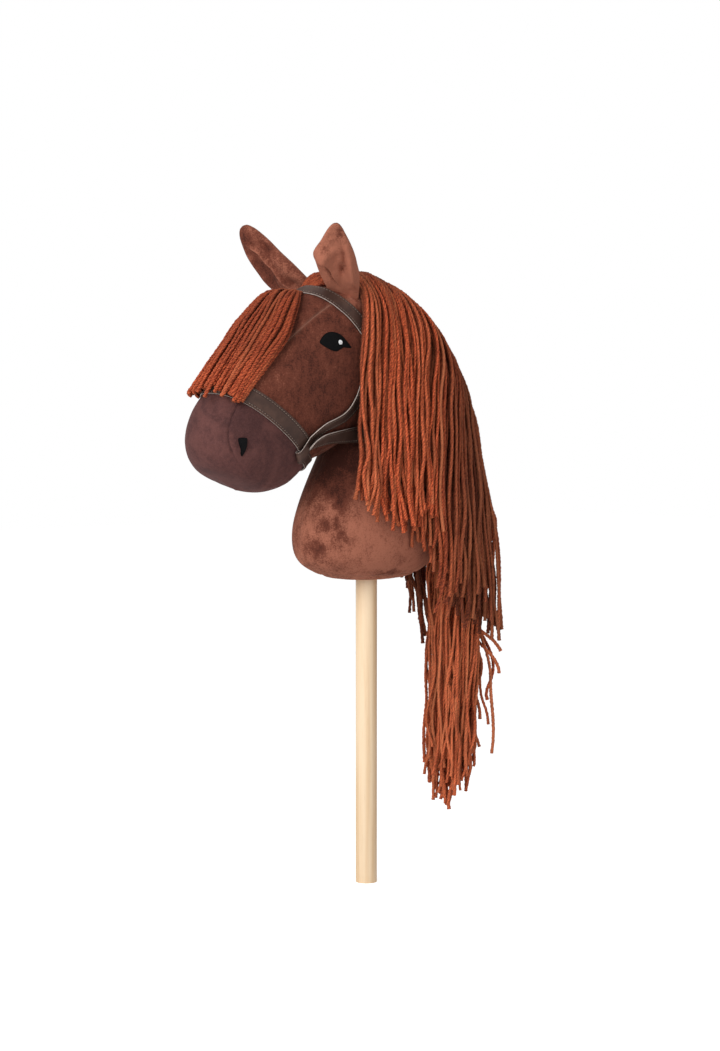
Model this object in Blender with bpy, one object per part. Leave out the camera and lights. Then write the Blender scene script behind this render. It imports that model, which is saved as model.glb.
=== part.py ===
"""A stick horse: a stuffed plush head and neck on a wooden pole, with a yarn mane and a strap halter.

The horse looks along -X, its left side is at -Y, and the origin is the middle of the pole's foot.
The head and the neck are two rounded forms, each a stack of rings. Every sewn panel, strap, patch
and lock of yarn takes its place from those two forms.
"""

import math

import bmesh
import bpy
import numpy as np
from mathutils import Matrix, Vector
from mathutils.bvhtree import BVHTree

# Pole
EXPOSED_POLE = 0.3155
POLE_IN_HEAD = 0.255
POLE_DIAMETER = 0.022
POLE_EDGE = 0.001
POLE_SIDES = 40

# Sleeve sewn round the hidden end of the pole
SLEEVE_WALL = 0.0015
SLEEVE_LENGTH = 0.200

# Plush and stuffing
PLUSH = 0.0025
SUEDE = 0.0016
CLEARANCE = 0.0003
HEAD_WIDTH = 0.098
NECK_WIDTH = 0.104
HEAD_COLUMNS = 26
NECK_COLUMNS = 24
SQUARENESS = 2.25
LEAST_HALF = 0.0001

# Straps
STRAP = 0.0016
STRAP_LIFT = 0.0010
CHIN_LIFT = 0.0011
BROW_LIFT = 0.0012
OVER_STRAP = STRAP_LIFT + STRAP + 0.0006
NOSEBAND_WIDTH = 0.0185
BROWBAND_WIDTH = 0.016
HEADSTALL_WIDTH = 0.012
REIN_WIDTH = 0.013
CHIN_WIDTH = 0.013

# Ears
EAR_LENGTH = 0.092
EAR_WIDTH = 0.044
EAR_BACK = 0.0022
EAR_LINING = 0.0018
EAR_ROOT = (1.78, 57.0)
EAR_SWING = 15.0
EAR_GAP = 0.0004
EAR_REACH = {"left": (-0.049, -0.046, 0.064), "right": (-0.048, 0.047, 0.073)}
EAR_TURN = {"left": 46.0, "right": -4.0}

# Embroidery
EYE_LENGTH = 0.037
EYE_ABOVE = 0.0105
EYE_BELOW = 0.0070
GLINT = 0.0048
NOSTRIL_LENGTH = 0.0165
NOSTRIL_WIDTH = 0.0098
STITCHING = 0.0008
PATCH_LIFT = 0.0005
PATCH_RINGS = (0.34, 0.67, 1.0)

# Yarn
TAPE_WIDTH = 0.012
TAPE = 0.0012
LOCK_ROOM = 0.0026
LOCK_LIFT = STRAP_LIFT + STRAP + LOCK_ROOM
LOCK_GAP = 4 * CLEARANCE
FORELOCK_ROOM = 0.0018
FORELOCK_LIFT = BROW_LIFT + STRAP + FORELOCK_ROOM

SIDES = {"left": -1, "right": 1}

# Each head station: the point on top, the point below, both as X and height above the neck's
# underside, and the share of the head's width. They run from inside the neck to the muzzle's seam.
HEAD_STATIONS = [
    ((0.010, 0.278), (0.024, 0.232), 0.35),
    ((-0.015, 0.291), (0.024, 0.205), 0.80),
    ((-0.066, 0.297), (-0.002, 0.172), 0.97),
    ((-0.101, 0.282), (-0.030, 0.150), 1.00),
    ((-0.134, 0.257), (-0.053, 0.135), 0.97),
    ((-0.164, 0.229), (-0.070, 0.127), 0.90),
    ((-0.192, 0.198), (-0.085, 0.121), 0.83),
    ((-0.213, 0.170), (-0.097, 0.111), 0.86),
    ((-0.219, 0.141), (-0.117, 0.098), 0.83),
    ((-0.208, 0.119), (-0.145, 0.092), 0.64),
    ((-0.186, 0.104), (-0.168, 0.094), 0.01),
]
BACK_OF_HEAD, NOSEBAND, MUZZLE_END = 0, 6, 10

# Each neck station: its height above the underside, its front and back as X, and the share of the
# neck's width. The first is the hole for the pole, and the last is the seam along the poll.
NECK_STATIONS = [
    (0.0000, None, None, None),
    (0.0000, -0.028, 0.032, 0.46),
    (0.0045, -0.053, 0.059, 0.62),
    (0.0195, -0.081, 0.084, 0.89),
    (0.0425, -0.089, 0.103, 1.00),
    (0.0765, -0.082, 0.114, 0.98),
    (0.1235, -0.058, 0.119, 0.92),
    (0.1845, -0.025, 0.109, 0.87),
    (0.2445, -0.022, 0.077, 0.79),
    (0.2865, -0.044, 0.034, 0.53),
    (0.3010, -0.034, 0.000, 0.01),
]
BASE_SEAM, CREST_LOW, POLL_SEAM = 2, 5, 10

# The left side of the mane, as guide lines from the crest down to the cut ends. Each point is X, the
# share of half the neck width, and height above the underside. Each line ends with its thickness at
# root, middle and tip.
MANE_GUIDES = [
    ([(-0.012, 0.302), (-0.026, -0.577, 0.287), (-0.042, -0.962, 0.248), (-0.047, -1.019, 0.200),
      (-0.050, -1.019, 0.140), (-0.056, -1.019, 0.082)], (0.006, 0.008, 0.006)),
    ([(0.016, 0.297), (0.008, -0.654, 0.270), (-0.002, -0.923, 0.225), (-0.006, -1.058, 0.160),
      (-0.005, -1.096, 0.100), (0.000, -1.077, 0.050)], (0.007, 0.011, 0.008)),
    ([(0.062, 0.260), (0.050, -0.635, 0.235), (0.040, -0.962, 0.180), (0.034, -1.115, 0.110),
      (0.034, -1.154, 0.050), (0.036, -1.115, 0.010)], (0.010, 0.014, 0.009)),
    ([(0.094, 0.218), (0.090, -0.538, 0.195), (0.084, -0.846, 0.140), (0.078, -1.038, 0.080),
      (0.076, -1.096, 0.020), (0.078, -1.058, -0.025)], (0.013, 0.016, 0.010)),
    ([(0.108, 0.188), (0.112, -0.423, 0.160), (0.115, -0.692, 0.110), (0.119, -0.846, 0.060),
      (0.124, -0.942, 0.000), (0.128, -0.942, -0.060)], (0.014, 0.017, 0.012)),
]
# The right side hangs shorter and further back: how far each guide's tip moves along X and up.
RIGHT_TIPS = [(0.026, 0.034), (0.014, 0.030), (0.004, 0.024), (0.000, 0.045), (0.000, 0.014)]
LOCKS = {"front": (0, 4), "middle": (4, 8), "back": (8, 12)}

# The part of the mane that hangs free behind the neck: height, middle X, half depth, half width.
TAIL_STATIONS = [
    (0.158, 0.1256, 0.008, 0.012),
    (0.130, 0.138, 0.015, 0.022),
    (0.090, 0.140, 0.019, 0.030),
    (0.050, 0.139, 0.025, 0.034),
    (0.000, 0.134, 0.033, 0.038),
    (-0.060, 0.129, 0.037, 0.040),
    (-0.130, 0.127, 0.034, 0.036),
    (-0.190, 0.122, 0.028, 0.030),
    (-0.236, 0.118, 0.010, 0.012),
]

# The forelock: head station, its near and far edge as angles, and its thickness at both.
FORELOCK = [
    (1.72, 84, 98, 0.006, 0.007),
    (2.10, 86, 112, 0.006, 0.007),
    (2.50, 86, 124, 0.006, 0.008),
    (3.00, 73, 132, 0.006, 0.010),
    (3.60, 61, 136, 0.006, 0.012),
    (4.20, 54, 137, 0.006, 0.014),
    (4.80, 50, 136, 0.006, 0.015),
    (5.40, 46, 134, 0.006, 0.015),
    (6.10, 44, 130, 0.005, 0.012),
]

# The seam between the muzzle's side and its gusset, from the noseband round the nose to the chin.
MUZZLE_SEAM = [
    (6.03, 48.5), (6.54, 46), (7.22, 44), (7.64, 40), (7.90, 35), (8.38, 23), (8.88, -2),
    (8.80, -25), (8.30, -42), (7.60, -52), (6.80, -59), (6.03, -62.3),
]

# Angles round the head, in degrees: 0 is the horse's left, 90 the top, 180 its right, 270 the jaw.
# Both are whole steps of the head's columns away from the top and from the jaw.
GUSSET_STEPS = 3
JAW_STEPS = 2

POLE_RADIUS = POLE_DIAMETER / 2
POLE_TOP = EXPOSED_POLE + POLE_IN_HEAD
SLEEVE_RADIUS = POLE_RADIUS + CLEARANCE + SLEEVE_WALL
CHANNEL_RADIUS = SLEEVE_RADIUS + CLEARANCE


def clear_scene():
    for old in list(bpy.data.objects):
        bpy.data.objects.remove(old, do_unlink=True)


def material(name, colour, roughness, metallic=0.0):
    made = bpy.data.materials.new(name)
    made.use_nodes = True
    shader = made.node_tree.nodes["Principled BSDF"]
    shader.inputs["Base Color"].default_value = (*colour, 1.0)
    shader.inputs["Roughness"].default_value = roughness
    shader.inputs["Metallic"].default_value = metallic
    made.diffuse_color = (*colour, 1.0)
    return made


def add_mesh(name, points, faces, finish):
    """A new object from points and faces, its faces turned outward."""
    mesh = bpy.data.meshes.new(name)
    mesh.from_pydata([tuple(p) for p in points], [], faces)
    shape = bmesh.new()
    shape.from_mesh(mesh)
    bmesh.ops.recalc_face_normals(shape, faces=shape.faces)
    shape.to_mesh(mesh)
    shape.free()
    mesh.materials.append(finish)
    mesh.shade_smooth()
    mesh.set_sharp_from_angle(angle=math.radians(50))
    made = bpy.data.objects.new(name, mesh)
    bpy.context.scene.collection.objects.link(made)
    return made


def as_cutter(obj):
    obj.hide_render = True
    obj.display_type = "WIRE"
    return obj


def cut(obj, *cutters):
    for cutter in cutters:
        boolean = obj.modifiers.new("cut by " + cutter.name, "BOOLEAN")
        boolean.operation = "DIFFERENCE"
        boolean.solver = "EXACT"
        boolean.object = cutter


def through_stations(stations, positions):
    """Rows read from a smooth curve through rows of numbers, at fractional row positions."""
    known = np.array(stations, float)
    last = len(known) - 1
    padded = np.vstack([2 * known[0] - known[1], known, 2 * known[-1] - known[-2]])
    rows = []
    for position in positions:
        start = min(int(position), last - 1)
        t = position - start
        before, here, there, after = padded[start : start + 4]
        rows.append(
            0.5
            * (
                2 * here
                + (there - before) * t
                + (2 * before - 5 * here + 4 * there - after) * t**2
                + (3 * here - before - 3 * there + after) * t**3
            )
        )
    return np.array(rows)


def rounded(angle):
    """Cosine and sine of an angle in degrees, pushed out towards a rounded square."""
    power = 2 / SQUARENESS
    pair = []
    for value in (math.cos(math.radians(angle)), math.sin(math.radians(angle))):
        pair.append(math.copysign(abs(value) ** power, value))
    return pair


def split(corners):
    """A four-sided face as two triangles, always cut the same way so that layers stay parallel."""
    a, b, c, d = corners
    return [(a, b, c), (a, c, d)]


class Form:
    """A rounded form: rings of points, each found by its row and by its angle in degrees."""

    def __init__(self, rings, positions, first_angle):
        self.grid = np.array(rings)
        self.positions = np.array(positions)
        self.columns = self.grid.shape[1]
        self.first_angle = first_angle
        self.normals = self.outward_normals()
        self.tree = self.search_tree()

    def outward_normals(self):
        across = np.roll(self.grid, -1, axis=1) - np.roll(self.grid, 1, axis=1)
        along = np.gradient(self.grid, axis=0)
        normals = np.cross(along, across)
        normals /= np.linalg.norm(normals, axis=2, keepdims=True)
        middle = self.grid.mean(axis=1, keepdims=True)
        belly = len(self.grid) // 2
        if ((self.grid - middle) * normals)[belly].sum() < 0:
            normals = -normals
        for end, beside in ((0, 1), (-1, -2)):
            if np.abs(self.grid[end, :, 1]).max() < 10 * LEAST_HALF:
                away = (middle[end] - middle[beside])[0]
                normals[end] = away / np.linalg.norm(away)
        return normals

    def search_tree(self):
        points, faces = self.closed_faces(0.0)
        return BVHTree.FromPolygons([tuple(p) for p in points], faces)

    def closed_faces(self, lift):
        """Points and faces of the whole form, moved out by lift, with both ends closed."""
        rows, columns = self.grid.shape[:2]
        points = list(kept_apart(self.grid, self.grid + self.normals * lift).reshape(-1, 3))
        faces = []
        for row in range(rows - 1):
            for column in range(columns):
                after = (column + 1) % columns
                first, second = row * columns, (row + 1) * columns
                corner = (first + column, first + after, second + after, second + column)
                faces += split(corner)
        for ring in (0, rows - 1):
            centre = len(points)
            base = ring * columns
            points.append(np.mean(points[base : base + columns], axis=0))
            for column in range(columns):
                after = (column + 1) % columns
                edge = (base + after, base + column) if ring == 0 else (base + column, base + after)
                faces.append((*edge, centre))
        sample = faces[rows // 2 * columns * 2]
        corner = [points[i] for i in sample[:3]]
        facing = np.cross(corner[1] - corner[0], corner[2] - corner[0])
        if facing.dot(self.normals[rows // 2, 0]) < 0:
            faces = [face[::-1] for face in faces]
        return points, faces

    def solid(self, name, lift, finish):
        points, faces = self.closed_faces(lift)
        return add_mesh(name, points, faces, finish)

    def row_of(self, station):
        return float(np.interp(station, self.positions, np.arange(len(self.positions))))

    def column_of(self, angle):
        return (angle - self.first_angle) / 360 * self.columns

    def read(self, values, row, column):
        low_row = min(int(row), len(values) - 2)
        low_column = math.floor(column)
        s, t = row - low_row, column - low_column
        a, b = low_column % self.columns, (low_column + 1) % self.columns
        first = values[low_row][a] * (1 - t) + values[low_row][b] * t
        second = values[low_row + 1][a] * (1 - t) + values[low_row + 1][b] * t
        return first * (1 - s) + second * s

    def point(self, station, angle, lift=0.0):
        row, column = self.row_of(station), self.column_of(angle)
        normal = self.read(self.normals, row, column)
        return self.read(self.grid, row, column) + normal / np.linalg.norm(normal) * lift

    def normal(self, station, angle):
        normal = self.read(self.normals, self.row_of(station), self.column_of(angle))
        return normal / np.linalg.norm(normal)

    def panel(self, name, stations, angles, inside, outside, finish):
        """A sewn panel: the part of the form between stations and angles, from inside to outside."""
        rows = [self.row_of(s) for s in whole_steps(stations, self.positions)]
        first, last = (self.column_of(a) for a in angles)
        ring = abs(abs(angles[1] - angles[0]) - 360) < 1e-6
        steps = [first, *range(math.floor(first + 1e-6) + 1, math.ceil(last - 1e-6)), last]
        if ring:
            steps = steps[:-1]
        points = np.array([[self.read(self.grid, r, c) for c in steps] for r in rows])
        normals = np.array([[self.read(self.normals, r, c) for c in steps] for r in rows])
        normals /= np.linalg.norm(normals, axis=2, keepdims=True)
        points = drawn_in(points, ring)
        return thick_sheet(name, points, normals, inside, outside, finish, ring, sewn=True)


def kept_apart(before, after):
    """The moved points, with none of them taken across the middle plane of the horse."""
    side = np.where(np.abs(before[..., 1]) > LEAST_HALF / 2, np.sign(before[..., 1]), 0)
    kept = after.copy()
    kept[..., 1] = np.where(side == 0, 0, side * np.maximum(side * after[..., 1], LEAST_HALF))
    return kept


def whole_steps(stations, positions):
    """The form's own ring positions between two stations, with the two stations at the ends."""
    low, high = stations
    between = [p for p in positions if low + 1e-3 < p < high - 1e-3]
    return [low, *between, high]


def drawn_in(points, ring):
    """The sheet with its free edges moved in by half the seam's clearance."""
    moved = points.copy()
    for edge, beside in ((0, 1), (-1, -2)):
        step = points[beside] - points[edge]
        length = np.maximum(np.linalg.norm(step, axis=-1, keepdims=True), 1e-6)
        moved[edge] += step / length * CLEARANCE / 2
        if not ring:
            step = points[:, beside] - points[:, edge]
            length = np.maximum(np.linalg.norm(step, axis=-1, keepdims=True), 1e-6)
            moved[:, edge] += step / length * CLEARANCE / 2
    return moved


def sheet_normals(points):
    along, across = np.gradient(points, axis=0), np.gradient(points, axis=1)
    normals = np.cross(along, across)
    return normals / np.linalg.norm(normals, axis=2, keepdims=True)


def thick_sheet(name, points, normals, inside, outside, finish, ring=False, sewn=False):
    """A closed sheet: a grid of points, thickened along its normals from inside to outside."""
    rows, columns = points.shape[:2]
    inner = kept_apart(points, points + normals * inside) if sewn else points + normals * inside
    outer = points + normals * outside
    vertices = [*outer.reshape(-1, 3), *inner.reshape(-1, 3)]
    count = rows * columns
    faces = []
    wraps = columns if ring else columns - 1
    for row in range(rows - 1):
        for column in range(wraps):
            a, b = row * columns + column, row * columns + (column + 1) % columns
            c, d = b + columns, a + columns
            faces += split((a, b, c, d))
            faces += [face[::-1] for face in split((count + a, count + b, count + c, count + d))]
    for row in (0, rows - 1):
        for column in range(wraps):
            a, b = row * columns + column, row * columns + (column + 1) % columns
            faces.append((b, a, count + a, count + b) if row == 0 else (a, b, count + b, count + a))
    if not ring:
        for column in (0, columns - 1):
            for row in range(rows - 1):
                a, b = row * columns + column, (row + 1) * columns + column
                faces.append((a, b, count + b, count + a) if column == 0 else (b, a, count + a, count + b))
    return add_mesh(name, vertices, faces, finish)


def head_form():
    positions = np.linspace(BACK_OF_HEAD, MUZZLE_END, 2 * MUZZLE_END + 1)
    table = [(*top, *below, share) for top, below, share in HEAD_STATIONS]
    rings = []
    for top_x, top_z, low_x, low_z, share in through_stations(table, positions):
        middle = np.array([(top_x + low_x) / 2, 0, EXPOSED_POLE + (top_z + low_z) / 2])
        up = np.array([(top_x - low_x) / 2, 0, (top_z - low_z) / 2])
        side = np.array([0, -HEAD_WIDTH / 2 * share, 0])
        ring = []
        for column in range(HEAD_COLUMNS):
            cosine, sine = rounded(90 + 360 * column / HEAD_COLUMNS)
            ring.append(middle + up * sine + side * cosine)
        rings.append(ring)
    return Form(rings, positions, 90)


def neck_form():
    hole = POLE_RADIUS + CLEARANCE
    table = []
    for height, front, back, share in NECK_STATIONS:
        if front is None:
            table.append((height, -hole, hole, hole))
        else:
            table.append((height, front, back, share * NECK_WIDTH / 2))
    positions = [0, 1, 1.5, 2, 2.5, 3, 3.5, 4, 5, 6, 6.5, 7, 7.5, 8, 8.5, 9, 9.5, 10]
    rings = []
    for height, front, back, half in through_stations(table, positions):
        middle = np.array([(front + back) / 2, 0, EXPOSED_POLE + max(height, 0)])
        ring = []
        for column in range(NECK_COLUMNS):
            turn = math.radians(360 * column / NECK_COLUMNS)
            ring.append(middle + np.array([(back - front) / 2 * math.cos(turn), -half * math.sin(turn), 0]))
        rings.append(ring)
    return Form(rings, positions, 0)


def pole_and_sleeve(wood, cotton):
    shape = bmesh.new()
    bmesh.ops.create_cone(
        shape, cap_ends=True, segments=POLE_SIDES, radius1=POLE_RADIUS, radius2=POLE_RADIUS,
        depth=POLE_TOP, matrix=Matrix.Translation((0, 0, POLE_TOP / 2)),
    )
    rims = [e for e in shape.edges if abs(e.verts[0].co.z - e.verts[1].co.z) < POLE_EDGE / 2]
    bmesh.ops.bevel(shape, geom=rims, offset=POLE_EDGE, segments=1, affect="EDGES")
    mesh = bpy.data.meshes.new("pole")
    shape.to_mesh(mesh)
    shape.free()
    mesh.materials.append(wood)
    mesh.shade_smooth()
    mesh.set_sharp_from_angle(angle=math.radians(35))
    pole = bpy.data.objects.new("pole", mesh)
    bpy.context.scene.collection.objects.link(pole)

    inner, outer = POLE_RADIUS + CLEARANCE, SLEEVE_RADIUS
    top = POLE_TOP + CLEARANCE
    bottom = POLE_TOP - SLEEVE_LENGTH
    profile = [(outer, top + SLEEVE_WALL), (outer, bottom), (inner, bottom), (inner, top)]
    sleeve_mesh = bpy.data.meshes.new("pole_sleeve")
    line = [(0, 0, top + SLEEVE_WALL), *((x, 0, z) for x, z in profile), (0, 0, top)]
    sleeve_mesh.from_pydata(line, [(i, i + 1) for i in range(len(line) - 1)], [])
    sleeve_mesh.materials.append(cotton)
    sleeve = bpy.data.objects.new("pole_sleeve", sleeve_mesh)
    bpy.context.scene.collection.objects.link(sleeve)
    screw = sleeve.modifiers.new("turned", "SCREW")
    screw.steps = screw.render_steps = POLE_SIDES
    screw.use_merge_vertices = True
    screw.merge_threshold = 0.00005
    return pole, sleeve


def channel_cutter(plain):
    """The space of the sleeve and pole inside the stuffing."""
    shape = bmesh.new()
    low, high = EXPOSED_POLE - PLUSH, POLE_TOP + 2 * CLEARANCE + SLEEVE_WALL
    bmesh.ops.create_cone(
        shape, cap_ends=True, segments=POLE_SIDES, radius1=CHANNEL_RADIUS, radius2=CHANNEL_RADIUS,
        depth=high - low, matrix=Matrix.Translation((0, 0, (low + high) / 2)),
    )
    mesh = bpy.data.meshes.new("channel")
    shape.to_mesh(mesh)
    shape.free()
    mesh.materials.append(plain)
    channel = bpy.data.objects.new("channel", mesh)
    bpy.context.scene.collection.objects.link(channel)
    return as_cutter(channel)


def sewn_body(head, neck, plush, suede, fibre):
    """Stuffing, the sewn panels of head and neck, and the muzzle."""
    head_space = as_cutter(head.solid("head_space", CLEARANCE, plush))
    head_lining = as_cutter(head.solid("head_lining", -PLUSH, plush))
    neck_lining = as_cutter(neck.solid("neck_lining", -PLUSH, plush))
    channel = channel_cutter(fibre)

    head_filling = head.solid("head_filling", -PLUSH - 1.5 * CLEARANCE, fibre)
    neck_filling = neck.solid("neck_filling", -PLUSH - 1.5 * CLEARANCE, fibre)
    cut(head_filling, channel)
    cut(neck_filling, channel, head_lining)

    step = 360 / HEAD_COLUMNS
    gusset, jaw = GUSSET_STEPS * step, JAW_STEPS * step
    face = (BACK_OF_HEAD + 0.5, NOSEBAND - 0.02)
    panels = [
        head.panel("forehead_gusset", face, (90 - gusset, 90 + gusset), -PLUSH, 0, plush),
        head.panel("cheek_left", face, (-90 + jaw, 90 - gusset), -PLUSH, 0, plush),
        head.panel("cheek_right", face, (90 + gusset, 270 - jaw), -PLUSH, 0, plush),
        head.panel("jaw_gusset", face, (270 - jaw, 270 + jaw), -PLUSH, 0, plush),
    ]
    for panel in panels:
        cut(panel, neck_lining)

    sewn_muzzle(head, suede)

    sides = {"left": (0, 180), "right": (180, 360)}
    for side, angles in sides.items():
        cut(neck.panel("neck_" + side, (BASE_SEAM, POLL_SEAM), angles, -PLUSH, 0, plush), head_space)
    neck.panel("neck_base", (0, BASE_SEAM), (0, 360), -PLUSH, 0, plush)


def sewn_muzzle(head, suede):
    """Two rounded sides and the gusset that runs between them, over the nose and under the chin."""
    heart = (head.point(7.3, 0) + head.point(7.3, 180)) / 2
    count = 25
    seam = smooth_line([head.point(s, a) for s, a in MUZZLE_SEAM], count)[0]
    seam_right = seam * np.array([1, -1, 1])
    top, chin = MUZZLE_SEAM[0], MUZZLE_SEAM[-1]
    border = [head.point(top[0], a) for a in np.linspace(top[1] - 1.5, chin[1] + 1.5, count)]
    side = spanned(head, heart, seam, (seam + border) / 2, border, 7)
    left = thick_sheet("muzzle_left", drawn_in(side, False), outward_from(side, head), -SUEDE, 0, suede)
    mirrored_object(left, "muzzle_right")
    over = [head.point(s, 90) for s in (top[0], 6.6, 7.2, 7.8, 8.4, 9.0, 9.5)]
    under = [head.point(s, 270) for s in (9.5, 8.8, 8.0, 7.2, 6.6, chin[0])]
    ridge = smooth_line(over + under, count)[0]
    gusset = spanned(head, heart, seam, ridge, seam_right, 11)
    thick_sheet("muzzle_gusset", drawn_in(gusset, False), outward_from(gusset, head), -SUEDE, 0, suede)


def spanned(form, heart, first, middle, last, count):
    """Rows of points on the form, from one edge line through a middle line to another edge line."""
    rows = []
    for start, centre, end in zip(first, middle, last):
        a, m, b = (p - heart for p in (start, centre, end))
        row = []
        for t in np.linspace(0, 1, count):
            look = a * (1 - t) * (1 - 2 * t) + m * 4 * t * (1 - t) + b * t * (2 * t - 1)
            row.append(np.array(form.tree.ray_cast(Vector(heart), Vector(look).normalized())[0]))
        rows.append(row)
    return np.array(rows)


def outward_from(points, form):
    """The form's outward direction at each point of a grid."""
    return np.array([[form.tree.find_nearest(Vector(p))[1] for p in row] for row in points])


def seated(point, forms, lift, snug=False):
    """The point moved out until it is at least lift away from every form. Snug also pulls it in."""
    point = Vector(point)
    for _ in range(6):
        for form in forms:
            nearest, normal, _, _ = form.tree.find_nearest(point)
            height = (point - nearest).dot(normal)
            inside = height < 0
            distance = (point - nearest).length
            if inside:
                point = nearest + normal * lift
            elif distance < lift or snug:
                point = nearest + (point - nearest).normalized() * lift
    return point


def lift_between(points, forms, lift):
    """Moves a grid of points out until the middles of its faces and edges keep the lift too."""
    for _ in range(3):
        for row in range(len(points) - 1):
            for column in range(len(points[0]) - 1):
                face = points[row : row + 2, column : column + 2]
                for corners in (face, face[:1], face[1:], face[:, :1], face[:, 1:]):
                    middle = Vector(corners.mean(axis=(0, 1)))
                    for form in forms:
                        nearest, normal, _, _ = form.tree.find_nearest(middle)
                        short = lift - (middle - nearest).dot(normal)
                        if short > 0:
                            corners += np.array(normal) * short
                            middle += normal * short


def smooth_line(points, count, *others):
    """Points spaced evenly along a smooth curve, and the other lists read at the same places."""
    spots = np.linspace(0, len(points) - 1, 12 * len(points))
    dense = through_stations(points, spots)
    steps = np.linalg.norm(np.diff(dense, axis=0), axis=1)
    along = np.concatenate([[0], np.cumsum(steps)])
    places = np.interp(np.linspace(0, along[-1], count), along, spots)
    return [through_stations(values, places) for values in (points, *others)]


def strap(name, route, width, forms, finish, step=0.010, thickness=STRAP, snug=False):
    """A flat strap along a route of (point, outward direction, lift), lying on the forms."""
    line, outward, lifts = ([stop[k] for stop in route] for k in range(3))
    lifts = [np.array([lift]) for lift in lifts]
    length = np.linalg.norm(np.diff(line, axis=0), axis=1).sum()
    line, outward, lifts = smooth_line(line, 2 * round(length / step / 2) + 1, outward, lifts)
    tangent = np.gradient(line, axis=0)
    side = np.cross(outward, tangent)
    side /= np.linalg.norm(side, axis=1, keepdims=True)
    rows = []
    for offset in (-width / 2, 0, width / 2):
        spots = zip(line, side, lifts)
        rows.append([seated(p + s * offset, forms, lift[0], snug) for p, s, lift in spots])
    points = np.array(rows)
    lift_between(points, forms, STRAP_LIFT / 2)
    normals = sheet_normals(points)
    if (normals[1] * outward).sum() < 0:
        normals = -normals
    return thick_sheet(name, points, normals, 0, thickness, finish)


def both_sides(route, middle):
    """A route on the left side, its middle stops, and the same route back on the right side."""
    flip = np.array([1, -1, 1])
    return route + middle + [(p * flip, n * flip, lift) for p, n, lift in route[::-1]]


def on_form(form, places, lift=STRAP_LIFT):
    return [(form.point(s, a, lift), form.normal(s, a), lift) for s, a in places]


def halter(head, neck, leather):
    """Straps of the halter. Places on a form are a station and an angle."""
    forms = (head, neck)
    noseband = on_form(head, [(6.02, -20), (5.97, 0), (5.98, 30), (6.04, 60)])
    strap("noseband", both_sides(noseband, on_form(head, [(6.10, 90)])), NOSEBAND_WIDTH, forms, leather)

    chin = on_form(head, [(6.42, -31), (6.45, -45), (6.42, -65)], CHIN_LIFT)
    under = on_form(head, [(6.40, -90)], CHIN_LIFT)
    strap("chin_strap", both_sides(chin, under), CHIN_WIDTH, forms, leather, 0.006)

    brow = [(2.00, 20), (2.07, 30), (2.14, 38), (2.25, 52), (2.37, 68)]
    brow = on_form(head, brow, BROW_LIFT)
    middle = on_form(head, [(2.46, 90)], BROW_LIFT)
    browband = strap("browband", both_sides(brow, middle), BROWBAND_WIDTH, forms, leather, 0.008)

    cheek = [(5.55, -31), (5.00, -31), (4.60, -34), (4.15, -36), (3.72, -38), (3.38, -35), (3.10, -32),
             (2.88, -28), (2.50, -16), (2.15, -4), (1.80, 8), (1.50, 24), (1.32, 45)]
    over_poll = neck.point(POLL_SEAM, 180) + np.array([0.006, 0, STRAP_LIFT])
    crown = [(over_poll, np.array([0, 0, 1.0]), STRAP_LIFT)]
    strap("headstall", both_sides(on_form(head, cheek), crown), HEADSTALL_WIDTH, forms, leather, 0.008)

    rein = on_form(head, [(5.55, -36), (5.10, -40)], OVER_STRAP) + on_form(head, [(4.36, -47)], OVER_STRAP)
    rein += on_form(neck, [(6.42, 138), (6.46, 115), (6.5, 90), (6.58, 60), (6.68, 32)])
    over_tape = TAPE + 5 * CLEARANCE
    rein += on_form(neck, [(6.74, 12)], over_tape)
    behind = on_form(neck, [(6.76, 0)], over_tape)
    strap("rein", both_sides(rein, behind), REIN_WIDTH, forms, leather)
    return browband


def mirrored_object(source, name):
    """The same piece on the horse's right side."""
    mesh = source.data.copy()
    for vertex in mesh.vertices:
        vertex.co.y = -vertex.co.y
    mesh.flip_normals()
    made = bpy.data.objects.new(name, mesh)
    bpy.context.scene.collection.objects.link(made)
    return made


def patch(name, centre, across, outline, form, low, high, finish):
    """A flat patch of stitching on the form. The outline gives points round the centre."""
    centre = Vector(centre)
    nearest, normal, _, _ = form.tree.find_nearest(centre)
    across = Vector(across)
    across = (across - normal * across.dot(normal)).normalized()
    up = normal.cross(across)
    up = up if up.z > 0 else -up
    layers = []
    for lift in (high, low):
        points = [nearest + normal * lift]
        for share in PATCH_RINGS:
            for x, y in outline:
                flat = nearest + across * x * share + up * y * share
                found, facing, _, _ = form.tree.find_nearest(flat)
                points.append(found + facing * lift)
        layers.append(points)
    count = len(outline)
    size = 1 + len(PATCH_RINGS) * count
    faces = []
    for base in (0, size):
        for i in range(count):
            j = (i + 1) % count
            faces.append((base, base + 1 + i, base + 1 + j))
            for ring in range(len(PATCH_RINGS) - 1):
                near, far = base + 1 + ring * count, base + 1 + (ring + 1) * count
                faces.append((near + i, far + i, far + j, near + j))
    rim = size - count
    for i in range(count):
        j = (i + 1) % count
        faces.append((rim + i, rim + j, size + rim + j, size + rim + i))
    return add_mesh(name, layers[0] + layers[1], faces, finish)


def almond(length, above, below, count=24):
    """An eye's outline: a high arc above and a flat arc below, which meet in pointed corners."""
    points = []
    for i in range(count):
        turn = 2 * math.pi * i / count
        x, y = math.cos(turn), math.sin(turn)
        height = above if y > 0 else below
        points.append((length / 2 * x, height * y * (1 - 0.3 * abs(x) ** 3)))
    return points


def teardrop(length, width, count=16):
    """A nostril's outline, wide above and running to a point below."""
    points = []
    for i in range(count):
        turn = 2 * math.pi * i / count
        y = math.sin(turn)
        points.append((width / 2 * math.cos(turn) * (0.62 + 0.38 * y), length / 2 * y))
    return points


def circle(radius, count=12):
    turns = [2 * math.pi * i / count for i in range(count)]
    return [(radius * math.cos(turn), radius * math.sin(turn)) for turn in turns]


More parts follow.
